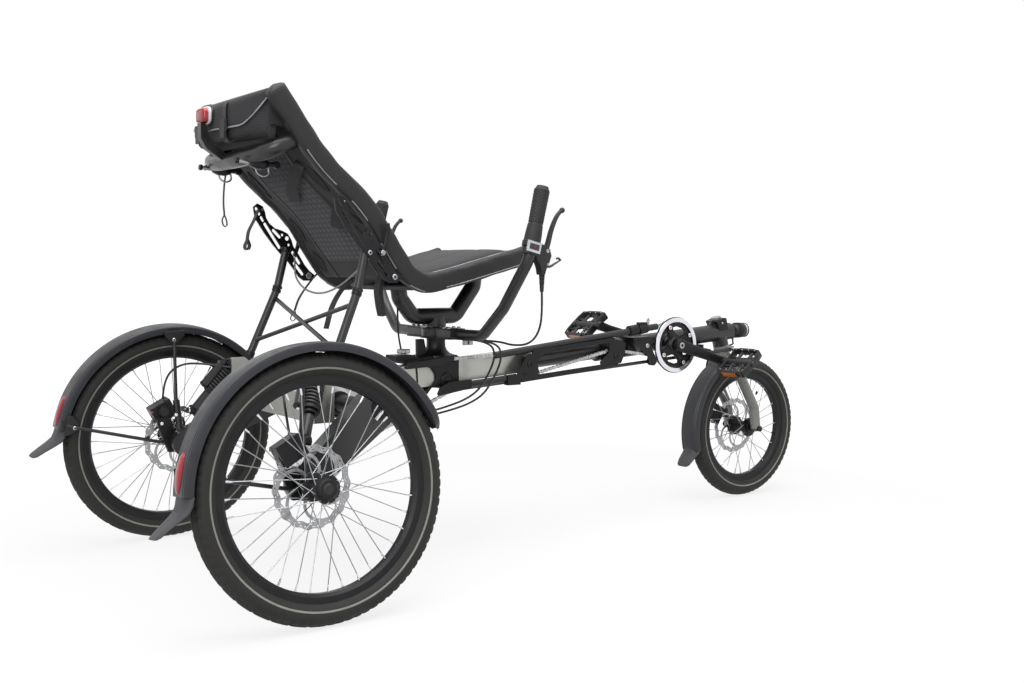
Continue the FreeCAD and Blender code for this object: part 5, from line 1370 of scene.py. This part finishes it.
# Fenders: a moulded crown with a bead along each shoulder, a rounded tip and a soft flap.
# A flap's rows are x, z, half width and curl of the sides, in the wheel's own frame.
fenders = {
    "rear_left": {"crown": 269.4, "half": 31, "skirt": 18, "from": 20, "to": 177, "body": "frame",
                  "flap": ((-267, 14, 31, 14), (-269.5, 0, 32.5, 13), (-273, -12, 34, 10), (-284, -23, 31, 7),
                           (-300, -36, 27, 5), (-314, -48, 23, 4), (-318, -51.5, 17, 3))},
    "front": {"crown": 219.2, "half": 29, "skirt": 20, "from": 119, "to": 194, "body": "fork",
              "flap": ((-214, -46, 29, 16), (-218.5, -58, 30, 14), (-226, -68, 28, 10), (-234, -80, 26, 7),
                       (-240, -90, 22, 5), (-242, -94, 16, 4))},
}
fenders["rear_right"] = fenders["rear_left"]
fenders["rear_left"] = dict(fenders["rear_left"], to=172)  # set a few degrees higher on this side


def fenderRing(fender, angle, share):
    crown, half = fender["crown"], fender["half"] * share
    skirt = 4 + (fender["skirt"] - 4) * share
    low = crown - skirt
    outer = [(low, half), (crown - 8, half + 0.5), (crown - 3.6, half - 1.2),
             (crown - 1.4, half - 4.2 * share), (crown - 1.5, half - 7 * share),
             (crown - 2.2, half - 8 * share), (crown - 0.7, half - 10 * share),
             (crown - 0.2, half * 0.45), (crown, 0)]
    inner = [(low, half - 2 * share), (crown - 7.5, half - 1.8 * share), (crown - 4.6, half - 4 * share),
             (crown - 3.4, half * 0.6), (crown - 2.6, 0)]
    section = [(r, -y) for r, y in outer] + [(r, y) for r, y in outer[-2::-1]]
    section += [(r, y) for r, y in inner] + [(r, -y) for r, y in inner[-2::-1]]
    return [onWheel(r, math.radians(angle), y) for r, y in section]


def makeFender(name, fender, wheel):
    bm = bmesh.new()
    tip = [fender["from"] + 11 * (1 - math.cos(math.radians(k * 11.25))) for k in range(9)]
    steps = math.ceil((fender["to"] - tip[-1]) / 2.5)
    angles = tip + [tip[-1] + (fender["to"] - tip[-1]) * (k + 1) / steps for k in range(steps)]
    rings = []
    for k, angle in enumerate(angles):
        share = max(0.3, math.sin(math.radians(k * 11.25))) if k < 8 else 1
        rings.append(fenderRing(fender, angle, share))
    skin(bm, rings)
    turn = Matrix.Rotation(math.radians(177 - fender["to"] if name != "front" else 0), 4, "Y")
    rings = []
    for x, z, half, curl in fender["flap"]:
        row = []
        for side, lift in ((1, 0.0), (-1, 3.0)):
            for k in range(9):
                t = (k / 4 - 1) * side
                row.append(turn @ Vector(((x + curl * t ** 4 + lift) / 1000, half * t / 1000, z / 1000)))
        rings.append(row)
    skin(bm, rings, index=1)
    bm.transform(wheelMatrix(wheel))
    addPiece(name + "_fender_moulded", bm, ["fenderPlastic", "flapRubber"], fender["body"],
             [name + "_fender"], sharp=28)


def bySkirt(angle, out, along):
    a = math.radians(angle)
    return (out * math.cos(a) - along * math.sin(a), out * math.sin(a) + along * math.cos(a))


# Fender clips: a cut plate inside each rear fender, with a bolt for its stay
clips = {"angles": (92, 169), "bolt": (238, 2),
         "outline": ((258, -24), (258, 22), (248, 22), (232, 8), (228, -3), (236, -14), (246, -24))}


def makeClips():
    bm = bmesh.new()
    for name in ("rear_left", "rear_right"):
        part = bmesh.new()
        for angle in clips["angles"]:
            addCutPlate(part, [bySkirt(angle, *p) for p in clips["outline"]], [], -37.5, -31.5, 1.2)
            bx, bz = bySkirt(angle, *clips["bolt"])
            addBar(part, Vector((bx, -37, bz)) / 1000, Vector((bx, -41.5, bz)) / 1000, 0.0044, 16, 0.004,
                   index=1)
            # the small dark hexagon on the bolt head is painted shade for its socket
            addBar(part, Vector((bx, -41, bz)) / 1000, Vector((bx, -41.8, bz)) / 1000, 0.0022, 6, index=2)
        part.transform(wheelMatrix(wheels[name]))
        addPart(bm, part)
    addPiece("fender_clips", bm, ["blackPlastic", "polishedAluminium", "blackAnodised"], "frame")


# Reflectors: a lens over the end of each rear fender, given in degrees along it and millimetres across
reflector = {"back": 8.5, "reach": 7.6, "radius": 268, "rise": 6.2, "half": 13}


def makeReflectors():
    bm = bmesh.new()
    for name in ("rear_left", "rear_right"):
        middle = fenders[name]["to"] - reflector["back"]
        rings = []
        for k in range(17):
            t = k / 8 - 1
            full = math.sqrt(max(0.03, 1 - t * t))
            ring = []
            for i in range(13):
                turn = math.pi * i / 12
                radius = reflector["radius"] + reflector["rise"] * full ** 0.7 * math.sin(turn) ** 0.6
                across = reflector["half"] * full ** 0.8 * math.cos(turn)
                ring.append(wheelMatrix(wheels[name])
                            @ onWheel(radius, math.radians(middle + reflector["reach"] * t), across))
            rings.append(ring)
        skin(bm, rings)
    addPiece("rear_reflectors_curved", bm, ["redLens"], "frame", ["reflectors"], sharp=30)


# Spokes: laced in pairs that cross, from the flange to the nipple of each hole in the rim
lacing = {"crossing": 46, "wire": 1.0}


def makeSpokes(name, wheel):
    bm = bmesh.new()
    count, bed = wheel["holes"], wheel["bed"]
    for i in range(count):
        turn = 2 * math.pi * i / count
        side = i % 2
        lean = math.radians(lacing["crossing"]) * (1 if i // 2 % 2 else -1)
        flange = wheel["flanges"][side] + (1.6 if i // 2 % 2 else -1.6)
        addBar(bm, onWheel(24, turn + lean, flange), onWheel(bed - 12, turn, (side * 2 - 1) * 4.2),
               lacing["wire"] / 1000, 6)
    bm.transform(wheelMatrix(wheel))
    addPiece(name + "_spokes_laced", bm, ["steelWire"], wheel["body"], [name + "_hub_spokes"])


# Shocks: coil, damper body and a side reservoir between two eyes
shock = {"top": (80, 217.3, 433), "foot": (18, 296, 322), "body": 10.5, "coil": 18, "wire": 3.0, "turns": 7,
         "side": 24}


def makeShocks():
    bm = bmesh.new()
    for side in (1, -1):
        top = spot(shock["top"][0], side * shock["top"][1], shock["top"][2])
        foot = spot(shock["foot"][0], side * shock["foot"][1], shock["foot"][2])
        along = foot - top
        beside = Vector((-1, 0, 0))
        beside = (beside - along * (beside.dot(along) / along.length_squared)).normalized()
        beside = beside * (shock["side"] / 1000)
        addBar(bm, top + along * 0.05, top + along * 0.52, 0.011, 24)
        addBar(bm, top + along * 0.5, top + along * 0.95, shock["body"] / 1000, 24, index=1)
        addBar(bm, top + along * 0.07, top + along * 0.12, 0.0205, 28)
        addBar(bm, top + along * 0.49, top + along * 0.55, 0.0205, 28)
        addBar(bm, top + along * 0.55, top + along * 0.6, 0.016, 28)
        across, upward = sideways(along)
        coil = []
        for i in range(shock["turns"] * 18 + 1):
            turn = 2 * math.pi * i / 18
            share = 0.12 + 0.37 * i / (shock["turns"] * 18)
            coil.append(top + along * share + (across * math.cos(turn) + upward * math.sin(turn))
                        * shock["coil"] / 1000)
        addTube(bm, coil, shock["wire"] / 1000, 8, index=1)
        addBar(bm, top + beside + along * 0.06, top + beside + along * 0.5, 0.0095, 24, index=1)
        addBar(bm, top + beside + along * 0.5, top + beside + along * 0.53, 0.011, 24)
        addBar(bm, top + beside + along * 0.53, top + beside + along * 0.56, 0.0035, 12, index=2)
        addBar(bm, top + beside + along * 0.03, top + along * 0.09, 0.009, 16)
        for eye, reach in ((top, 0.012), (foot, 0.011)):
            addBar(bm, eye + Vector((-reach, 0, 0)), eye + Vector((reach, 0, 0)), 0.0115, 24)
            addBar(bm, eye + Vector((-reach - 0.004, 0, 0)), eye + Vector((-reach, 0, 0)), 0.0078, 20,
                   index=2)
            # dark hexagon on each silver eye bolt: painted shade for its socket
            addBar(bm, eye + Vector((-reach - 0.0045, 0, 0)), eye + Vector((-reach - 0.0038, 0, 0)),
                   0.0036, 6)
    addPiece("shocks_coiled", bm, ["blackAnodised", "blackCoat", "polishedAluminium"], "frame",
             ["shocks"])


# Brake calipers: bolts, hose fitting, adapter and the red end of the lever pin, in the wheel's frame
caliperTrim = {"places": (("rear_left", 119, -66, -1), ("rear_right", 119, -66, -1), ("front", 152, 50, 1)),
               "plate": ((52, -27), (66, -30), (72, -16), (66, 0), (72, 16), (66, 30), (52, 27), (44, 10),
                         (44, -10)), "hole": (57, 15, 4.5)}


def makeCaliperTrim():
    rear, front = bmesh.new(), bmesh.new()
    for name, angle, face, inner in caliperTrim["places"]:
        part = bmesh.new()

        def pin(out, along, low, high, radius, index):
            x, z = bySkirt(angle, out, along)
            addBar(part, Vector((x, face + inner * low, z)) / 1000,
                   Vector((x, face + inner * high, z)) / 1000, radius / 1000, 16, index=index)
        for out, along in ((64, -19), (64, 19)):
            pin(out, along, -6, 7, 6, 1)
            pin(out, along, 7, 10, 4, 2)
        pin(83, 0, -4, 4, 14, 0)
        pin(83, 0, 4, 5.5, 11, 1)
        pin(97, 24, -9, 3, 3.4, 3)
        pin(97, -18, -9, 2, 5, 0)
        if name != "front":
            out, apart, radius = caliperTrim["hole"]
            holes = [[bySkirt(angle, out + radius * math.cos(t / 3), along + radius * math.sin(t / 3))
                      for t in range(19)] for along in (-apart, apart)]
            addCutPlate(part, [bySkirt(angle, *p) for p in caliperTrim["plate"]], holes, -62, -57, 0.6,
                        index=2)
        part.transform(wheelMatrix(wheels[name]))
        addPart(front if name == "front" else rear, part)
    looks = ["blackAnodised", "blackPlastic", "polishedAluminium", "redLens"]
    addPiece("rear_caliper_trim", rear, looks, "frame")
    addPiece("front_caliper_trim", front, looks, "fork")


for name in ("rear_left", "rear_right", "front"):
    makeFender(name, fenders[name], wheels[name])
    makeSpokes(name, wheels[name])
makeClips()
makeReflectors()
makeShocks()
makeCaliperTrim()
print("rear dressed")


# Back hinge: a slotted plate on each side ties the struts to the side tubes of the seat
hinge = {"inside": 201.3, "outside": 207.3,
         "outline": [(129, 792), (139, 800), (152, 794), (158, 780), (160, 768), (168, 755), (182, 744),
                     (200, 739), (214, 732), (223, 718), (228, 702), (240, 686), (256, 660), (268, 646),
                     (284, 634), (272, 622), (254, 622), (242, 630), (226, 652), (210, 672), (196, 684),
                     (178, 704), (156, 732), (133, 766)],
         "holes": [(200, 729, 3.2), (212, 721, 5.2), (216, 706, 3.2), (266, 634, 4.5), (208, 684, 4.2)],
         "slots": [(136, 788, 143, 776, 3.6), (148, 768, 152, 761, 3.2), (157, 753, 192, 700, 3.8),
                   (178, 739, 193, 724, 3.6), (230, 663, 250, 638, 3.8), (226, 688, 242, 664, 3.8)],
         "bolts": [(208, 684, 6), (266, 634, 7), (150, 786, 3)],
         "lever": [(236, 4, 684), (244, 5, 704), (248, 6, 730), (246, 7, 744)],
         "struts": [((207, 196, 700), (184, 198, 604), 11.2, 0.12),
                    ((184, 198, 604), (118, 209, 448), 10.8, 0.05)]}


def makeHinges():
    bm = bmesh.new()
    holes = [roundHole(*h) for h in hinge["holes"]] + [slotHole(*h) for h in hinge["slots"]]
    for side in (1, -1):
        low, high = sorted((side * hinge["inside"], side * hinge["outside"]))
        addCutPlate(bm, hinge["outline"], holes, low, high, 1.0, turn=onFrame)
        face = side * hinge["outside"]
        for x, z, radius in hinge["bolts"]:
            addBar(bm, spot(x, side * (hinge["inside"] - 2), z), spot(x, face + side * 4, z),
                   radius / 1000, 20, (radius - 1) / 1000, index=1)
            # dark hexagon on each bolt head: painted shade for its socket
            addBar(bm, spot(x, face + side * 3.9, z), spot(x, face + side * 4.6, z),
                   radius * 0.45 / 1000, 6, index=2)
        # the release lever lies along the plate
        addPadBar(bm, [spot(x, face + side * out, z) for x, out, z in hinge["lever"]], 3.4, 5, power=2.6,
                  count=14)
        addBar(bm, spot(236, face, 684), spot(236, face + side * 9, 684), 0.0065, 20, 0.0055, index=1)
        # clamp collars where the struts slide
        for (x0, y0, z0), (x1, y1, z1), radius, collar in hinge["struts"]:
            high, low = spot(x0, side * y0, z0), spot(x1, side * y1, z1)
            addBar(bm, high.lerp(low, 0.0), high.lerp(low, collar), radius / 1000, 24)
            addBar(bm, high.lerp(low, 0.93), low, radius / 1000, 24)
        addBar(bm, spot(184, side * 186, 606), spot(184, side * 211, 606), 0.0034, 14, index=2)
    addPiece("seat_hinge_plates", bm, ["blackAnodised", "steelBolt", "blackPlastic"], "frame",
             ["seat_hinges"], sharp=32)


# Seat base: a moulded pan with rolled edges, and the webbing that ties the cushion to it
pan = {"half": 160, "thick": 4.5, "roll": 9, "webbing": ((400, 614), (500, 634), (572, 655))}


def makePan():
    bm = bmesh.new()
    path = sidePath(seat["base"], 0, 0.012)
    rings = []
    last = len(path) - 1
    for i, point in enumerate(path):
        up = heading(path, i).cross(yAxis)
        up = up if up.z > 0 else -up
        end = min(i, last - i)
        half = pan["half"] * (1 - 0.06 * max(0, 1 - end / 4) ** 2)
        ring = []
        for lift in (0.0, pan["thick"]):
            row = []
            for k in range(17):
                t = k / 8 - 1
                rise = pan["roll"] * max(0, abs(t) - 0.86) / 0.14 - 3 * (1 - t * t)
                rise += 1.6 * math.sin(math.pi * 3 * t) ** 2 * (1 if end > 1 else 0)
                row.append(point + Vector((0, half * t / 1000, 0)) + up * ((lift + rise) / 1000))
            ring += row if lift == 0 else row[::-1]
        rings.append(ring)
    skin(bm, rings)
    addPiece("seat_pan_moulded", bm, ["blackPlastic"], "frame", ["seat_base"], sharp=45)
    bm = bmesh.new()
    for x0, z0 in pan["webbing"]:
        addStrap(bm, [spot(x0, -168, z0 + 14), spot(x0, -158, z0 - 2), spot(x0, -120, z0 - 5),
                      spot(x0, 0, z0 - 6), spot(x0, 120, z0 - 5), spot(x0, 158, z0 - 2),
                      spot(x0, 168, z0 + 14)], 24, 1.6, xAxis)
        addBlock(bm, spot(x0, -60, z0 - 8), (0.03, 0.034, 0.006), index=1)
    addPiece("seat_pan_webbing", bm, ["webbing", "blackPlastic"], "frame", round=0.5)


# Rear light: a ribbed red lens in a clear rim, on the plate that stands out from the seat's loop
rearLight = {"x": -47.3, "half": (27, 19), "middle": 961.5}


def makeRearLight():
    bm = bmesh.new()

    def frameRing(x, wide, tall, power=3.4, count=40):
        ring = []
        for k in range(count):
            c, s = math.cos(2 * math.pi * k / count), math.sin(2 * math.pi * k / count)
            ring.append(spot(x, wide * signedPower(c, 2 / power),
                             rearLight["middle"] + tall * signedPower(s, 2 / power)))
        return ring
    wide, tall = rearLight["half"]
    front = rearLight["x"]
    skin(bm, [frameRing(front + 3, wide - 4, tall - 4), frameRing(front + 2, wide - 2, tall - 2),
              frameRing(front - 6, wide - 1, tall - 1), frameRing(front - 9, wide - 2, tall - 2)], index=2)
    skin(bm, [frameRing(front - 8, wide - 1, tall - 1), frameRing(front - 9, wide, tall),
              frameRing(front - 12, wide, tall), frameRing(front - 13.5, wide - 2, tall - 2)], index=1)
    skin(bm, [frameRing(front - 13, wide - 3, tall - 3), frameRing(front - 20, wide - 3.6, tall - 3.6),
              frameRing(front - 23.5, wide - 6, tall - 6), frameRing(front - 25, wide - 11, tall - 11)])
    for y in range(-15, 16, 5):
        tallHere = (tall - 5.5) * math.sqrt(1 - (abs(y) / (wide + 2)) ** 2)
        addBar(bm, spot(front - 23.4, y, rearLight["middle"] - tallHere),
               spot(front - 23.4, y, rearLight["middle"] + tallHere), 0.0014, 8)
    addPiece("rear_light_lens", bm, ["redLens", "clearLens", "blackPlastic"], "frame",
             ["rear_light"], sharp=40)


# Clamps, rods and levers that hang under the seat's loop
def makeLoopClamps():
    bm = bmesh.new()
    for side in (1, -1):
        y = side * 100
        addBar(bm, spot(-34, y, 866), spot(2, y, 862), 0.0038, 14, index=1)
        addBar(bm, spot(-36, y, 866.2), spot(-29, y, 865.4), 0.0062, 16)
        addPadBar(bm, [spot(0, y, 866), spot(8, y, 862), spot(20, y, 861), spot(27, y, 863)], 12, 11,
                  power=3, count=20)
        addBar(bm, spot(24, y, 862), spot(52, y, 861), 0.0052, 16)
        addBar(bm, spot(52, y - 5, 861), spot(52, y + 5, 861), 0.0075, 20)
        addTube(bm, smoothPath([spot(6, y, 856), spot(10, y, 842), spot(24, y, 836), spot(36, y, 842),
                                spot(34, y, 856)], 0.4, 5), 0.0019, 10, index=1)
        addBar(bm, spot(66, side * 152, 903), spot(58, side * 157, 922), 0.006, 14, 0.005, index=1)
    addBar(bm, spot(-10, 129, 868), spot(-10, 36, 872), 0.0034, 14, index=1)
    addBar(bm, spot(-10, 134, 868), spot(-10, 118, 869), 0.0058, 16)
    addBlock(bm, spot(-30, 112, 938), (0.004, 0.034, 0.046), Matrix.Rotation(math.radians(-24), 3, "Z"))
    addBar(bm, spot(-33, 124, 946), spot(-37, 124, 946), 0.0046, 16, index=1)
    addPiece("loop_clamps_levers", bm, ["blackAnodised", "steelBolt"], "frame", round=0.8)


makeHinges()
makePan()
makeRearLight()
makeLoopClamps()
print("seat details made")


# Steering post: a cast housing round the main tube, its waisted post with webs, the bar plate's fittings
post = {"x": 496, "half": 34,
        "block": [(390, 441), (392, 434), (440, 428), (464, 421), (475, 406), (476, 392), (467, 382),
                  (442, 367), (428, 358), (434, 352), (454, 362), (466, 377), (536, 377), (540, 382),
                  (540, 446), (534, 450), (456, 450), (420, 444)],
        "waist": [(44, 444), (43, 450), (33, 454), (26, 461), (22.5, 470), (22, 482), (23, 489.5)],
        "web": [(444, 444), (443, 488), (460, 488), (466, 462), (472, 444)],
        "strip": [(384, 424), (388, 438), (470, 447), (510, 452), (512, 441), (470, 428)],
        "shoe": [(466, 362), (474, 358), (562, 371), (562, 392), (500, 389), (474, 378)],
        "boss": (507, 392),
        "bossSteps": [(19, 0), (19, 3), (17, 5), (13, 5), (12, 3.4), (8, 3.4), (7, 5.4), (5, 6)],
        "knob": (408, 0), "knobReach": 15.5}


def lathe(bm, centre, along, profile, count=40, index=0):
    across, upward = sideways(along)
    skin(bm, [circlePoints(centre + along * (t / 1000), across, upward, r / 1000, count) for r, t in profile],
         index=index)


def makePost():
    bm = bmesh.new()
    x, half = post["x"], post["half"]
    addCutPlate(bm, post["block"], [], -half, half, 3.0, turn=onFrame)
    lathe(bm, spot(x, 0, 0), zAxis, post["waist"])
    addCutPlate(bm, post["web"], [], -7, 7, 1.5, turn=onFrame)
    addBlock(bm, spot(428, 0, 402.5), (0.005, 0.0552, 0.0545), Matrix.Rotation(math.radians(-4.1), 3, "Y"))
    bx, bz = post["boss"]
    lathe(bm, spot(bx, -33, bz), Vector((0, -1, 0)), post["bossSteps"])
    # strip and shoe that hide the chain beside the housing
    addCutPlate(bm, post["strip"], [], -58, -51, 1.2, turn=onFrame)
    addCutPlate(bm, post["shoe"], [], -55, -51, 1.2, turn=onFrame)
    # clamp foot and star knob on the flange
    kx, ky = post["knob"]
    addBlock(bm, spot(kx - 8, ky, 447), (0.05, 0.05, 0.012))
    addBar(bm, spot(kx, ky, 447), spot(kx, ky, 459), 0.006, 16, index=1)
    knob = [circlePoints(spot(kx, ky, z), xAxis, yAxis, 0.001, 48) for z in (456, 458, 464, 466)]
    full = post["knobReach"]
    for ring, size in zip(knob, (full - 2.5, full, full, full - 2.5)):
        for i, p in enumerate(ring):
            turn = 2 * math.pi * i / 48
            reach = (size + 2.2 * math.cos(6 * turn)) / 1000
            ring[i] = spot(kx, ky, 0) + Vector((reach * math.cos(turn), reach * math.sin(turn), p.z))
    skin(bm, knob, index=1)
    addTube(bm, smoothPath([spot(kx - 6, ky, 462), spot(kx - 14, ky, 500), spot(kx - 16, ky, 560),
                            spot(kx - 12, ky, 632)], 0.4, 6), 0.0022, 10)
    addPiece("pivot_housing_cast", bm, ["blackAnodised", "steelBolt"], "frame",
             ["pivot_housing"], sharp=38, round=0.6)


# Bar plate: two thin plates grip the bar between them, each a waisted outline with rounded middles
barPlate = {"levels": ((490.2, 494, 4), (511, 515, 1)), "half": 21, "bow": 34, "inner": 52, "outer": 92,
            "bolts": [(dx, y) for y in (-78, -56, 56, 78) for dx in (-14, 14)],
            "barrel": [(5, 0), (6.4, 1), (6.4, 10), (5.6, 11), (6.4, 12), (6.4, 23), (5, 24)]}


def makeBarPlate():
    bm = bmesh.new()
    x, inner, outer = post["x"], barPlate["inner"], barPlate["outer"]
    bulge = [math.radians(50 - 10 * k) for k in range(11)]
    for z0, z1, grow in barPlate["levels"]:
        half, bow = barPlate["half"] + grow, barPlate["bow"] + grow
        outline = []
        for side in (-1, 1):
            outline += [(x + side * half, -side * y) for y in (outer, inner)]
            outline += [(x + side * bow * math.cos(a), -side * bow * math.sin(a)) for a in bulge]
            outline += [(x + side * half, side * y) for y in (inner, outer)]
        skin(bm, [[spot(px, py, z) for px, py in outline] for z in (z0, z1)])
    for dx, y in barPlate["bolts"]:
        addBar(bm, spot(x + dx, y, 514), spot(x + dx, y, 519), 0.0052, 18, 0.0045, index=1)
    # cable barrels below the bar at the right
    for dx in (26, 40):
        lathe(bm, spot(x + dx, -86, 476), zAxis, barPlate["barrel"], 20, index=1)
    addBlock(bm, spot(x + 28, -86, 502), (0.044, 0.024, 0.01))
    addPiece("bar_plate_fittings", bm, ["blackAnodised", "steelBolt"], "bar", sharp=35,
             round=0.5)


# Head: wedge clamp with its bolt, small cables under the boom, and the lamp on its bracket
headClamp = {"outline": [(1420, 470), (1412, 498), (1406, 508), (1434, 518), (1446, 517), (1454, 486),
                         (1454, 470)],
             "half": 23, "cables": ((-12, 0), (-4, 6)), "ties": (1305, 1352)}
lamp = {"x": 1494, "z": 480, "shell": [(9, 0), (14, 2), (19, 10), (21, 22), (21.4, 36), (20.4, 38)],
        "lens": [(19.4, 37.5), (19.8, 39), (19.2, 44.5), (18, 45)],
        "rim": [(19, 44.5), (20.8, 45), (20.8, 47.2), (19, 48), (15, 47.4), (8, 46.6)],
        "fins": (10, 16, 22), "fin": [(19.5, 0), (22, 0.4), (22, 2.2), (19.5, 2.6)]}


def makeHead():
    bm = bmesh.new()
    half = headClamp["half"]
    addCutPlate(bm, headClamp["outline"], [], -half, half, 2.5, turn=onFrame)
    addBar(bm, spot(1428, -half - 2, 503), spot(1428, half + 2, 503), 0.0036, 14, index=1)
    for y, sag in headClamp["cables"]:
        addTube(bm, smoothPath([spot(1262, y, 441), spot(1300, y - 6, 432 - sag),
                                spot(1346, y - 4, 436 - sag), spot(1392, y, 428 - sag),
                                spot(1412, y + 16, 424)], 0.4, 6), 0.0026, 10, index=2)
    for x in headClamp["ties"]:
        addBlock(bm, spot(x, -9, 439), (0.01, 0.026, 0.012))
    addPiece("head_clamp", bm, ["blackAnodised", "steelBolt", "hoseJacket"], "frame", sharp=35)
    bm = bmesh.new()
    x, z = lamp["x"], lamp["z"]
    lathe(bm, spot(x, 0, z), xAxis, lamp["shell"])
    lathe(bm, spot(x, 0, z), xAxis, lamp["lens"], index=1)
    lathe(bm, spot(x, 0, z), xAxis, lamp["rim"])
    for step in lamp["fins"]:
        lathe(bm, spot(x + step, 0, z), xAxis, lamp["fin"])
    addTube(bm, [spot(1486 + 3 * math.cos(a), 16 * math.cos(a), z - 4 + 17 * math.sin(a)) for a in
                 [2 * math.pi * k / 28 for k in range(28)]], 0.0042, 10, closed=True)
    addBlock(bm, spot(1480, 0, z - 2), (0.02, 0.014, 0.02))
    addTube(bm, smoothPath([spot(1488, -8, z - 20), spot(1484, -10, z - 30), spot(1490, -8, z - 38),
                            spot(1478, 0, z - 44)], 0.4, 5), 0.0024, 10)
    addPiece("headlight_lamp", bm, ["blackPlastic", "clearLens"], "frame", ["headlight"],
             sharp=35)


# Clips, joints and bolts along the chain's tubes and the boom's adjuster. Bolts are x, z, radius and look;
# a block's second triple is its size in metres.
tubeClips = {"y": -46, "rise": 1.8 * math.tan(math.radians(4.1)),
             "sleeves": ((1058, 1086, 492, 13.5), (1092, 1120, 494, 12.5)),
             "loop": (1126, 516), "blocks": [((1104, -46, 508), (0.026, 0.014, 0.012)),
                                             ((683, -50, 384), (0.038, 0.016, 0.024))],
             "bolts": ((731, 420, 7.5, 0), (1008, 428, 7, 0), (1115, 452, 6, 1), (716, 398, 4, 0),
                       (1088, 470, 4, 0))}


def makeTubeClips():
    bm = bmesh.new()
    y = tubeClips["y"]
    for x0, x1, z, radius in tubeClips["sleeves"]:
        addBar(bm, spot(x0, y, z), spot(x1, y, z + (x1 - x0) * tubeClips["rise"]), radius / 1000, 28)
    for centre, size in tubeClips["blocks"]:
        addBlock(bm, spot(*centre), size)
    lx, lz = tubeClips["loop"]
    addTube(bm, [spot(lx + 3.2 * math.cos(a), y, lz + 7.5 * math.sin(a)) for a in
                 [2 * math.pi * k / 24 for k in range(24)]], 0.0018, 8, index=1, closed=True)
    for x, z, radius, look in tubeClips["bolts"]:
        steps = [(radius, 0), (radius, 3), (radius - 1, 4), (radius * 0.5, 4), (radius * 0.45, 2.4)]
        lathe(bm, spot(x, -55, z), Vector((0, -1, 0)), steps, 24, look)
    addPiece("chain_tube_clips", bm, ["blackAnodised", "steelBolt"], "frame", sharp=35,
             round=0.5)


makePost()
makeBarPlate()
makeHead()
makeTubeClips()
print("front details made")


# Floor and light: a white studio with a broad lamp above and a softer one from the camera's side
studio = {"floorHalf": 14, "middle": (0.0, 0.0, 0.0), "floorGrey": "#c8c8c8",
          "worldLight": 0.5, "topLamp": 105, "sideLamp": 45}


def makeStudio():
    world = bpy.data.worlds.new("studioWorld")
    scene.world = world
    world.use_nodes = True
    tree = world.node_tree
    tree.nodes.clear()
    path = addNode(tree, "ShaderNodeLightPath")
    seen = addNode(tree, "ShaderNodeMath", links={0: path.outputs["Is Camera Ray"],
                   1: path.outputs["Is Transmission Ray"]}, operation="MAXIMUM")
    dim = addNode(tree, "ShaderNodeBackground", {"Color": (1, 1, 1, 1), "Strength": studio["worldLight"]})
    white = addNode(tree, "ShaderNodeBackground", {"Color": (1, 1, 1, 1), "Strength": 1.0})
    mirror = addNode(tree, "ShaderNodeMath", links={0: seen.outputs[0], 1: path.outputs["Is Glossy Ray"]},
                     operation="MAXIMUM")
    mixed = addNode(tree, "ShaderNodeMixShader", links={0: mirror.outputs[0], 1: dim.outputs[0],
                    2: white.outputs[0]})
    addNode(tree, "ShaderNodeOutputWorld", links={"Surface": mixed.outputs[0]})

    made, tree = newMaterial("paintedStudioFloor")
    path = addNode(tree, "ShaderNodeLightPath")
    seen = addNode(tree, "ShaderNodeMath", links={0: path.outputs["Is Camera Ray"],
                   1: path.outputs["Is Glossy Ray"]}, operation="MAXIMUM")
    matt = addNode(tree, "ShaderNodeBsdfDiffuse", {"Color": colour(studio["floorGrey"])})
    lift = addNode(tree, "ShaderNodeMath", {1: 1.14}, {0: seen.outputs[0]}, operation="MULTIPLY")
    glow = addNode(tree, "ShaderNodeEmission", {"Color": (1, 1, 1, 1)}, {"Strength": lift.outputs[0]})
    place = addNode(tree, "ShaderNodeTexCoord")
    reach = addNode(tree, "ShaderNodeVectorMath", {1: studio["middle"]}, {0: place.outputs["Object"]},
                    operation="DISTANCE")
    fade = addNode(tree, "ShaderNodeMapRange",
                   {"From Min": 1.3, "From Max": 2.6, "To Min": 0.7, "To Max": 1.0},
                   {"Value": reach.outputs["Value"]})
    share = addNode(tree, "ShaderNodeMixShader", links={0: fade.outputs["Result"], 1: matt.outputs[0],
                    2: glow.outputs[0]})
    addNode(tree, "ShaderNodeOutputMaterial", links={"Surface": share.outputs[0]})
    half = studio["floorHalf"]
    mesh = bpy.data.meshes.new("studioFloor")
    mesh.from_pydata([(-half, -half, 0), (half, -half, 0), (half, half, 0), (-half, half, 0)], [],
                     [(0, 1, 2, 3)])
    mesh.materials.append(made)
    floor = bpy.data.objects.new("studioFloor", mesh)
    scene.collection.objects.link(floor)

    for name, place, aim, wide, power in (
            ("topLamp", (-0.4, -0.6, 3.2), (0, 0, 0.4), 3.2, studio["topLamp"]),
            ("sideLamp", (-3.2, -2.6, 1.9), (0, 0, 0.5), 2.0, studio["sideLamp"])):
        data = bpy.data.lights.new(name, "AREA")
        data.energy = power
        data.size = wide
        light = bpy.data.objects.new(name, data)
        scene.collection.objects.link(light)
        light.location = place
        light.rotation_mode = "QUATERNION"
        light.rotation_quaternion = (Vector(aim) - Vector(place)).to_track_quat("-Z", "Y")


makeStudio()
scene.view_settings.view_transform = "Standard"
print("studio lit")
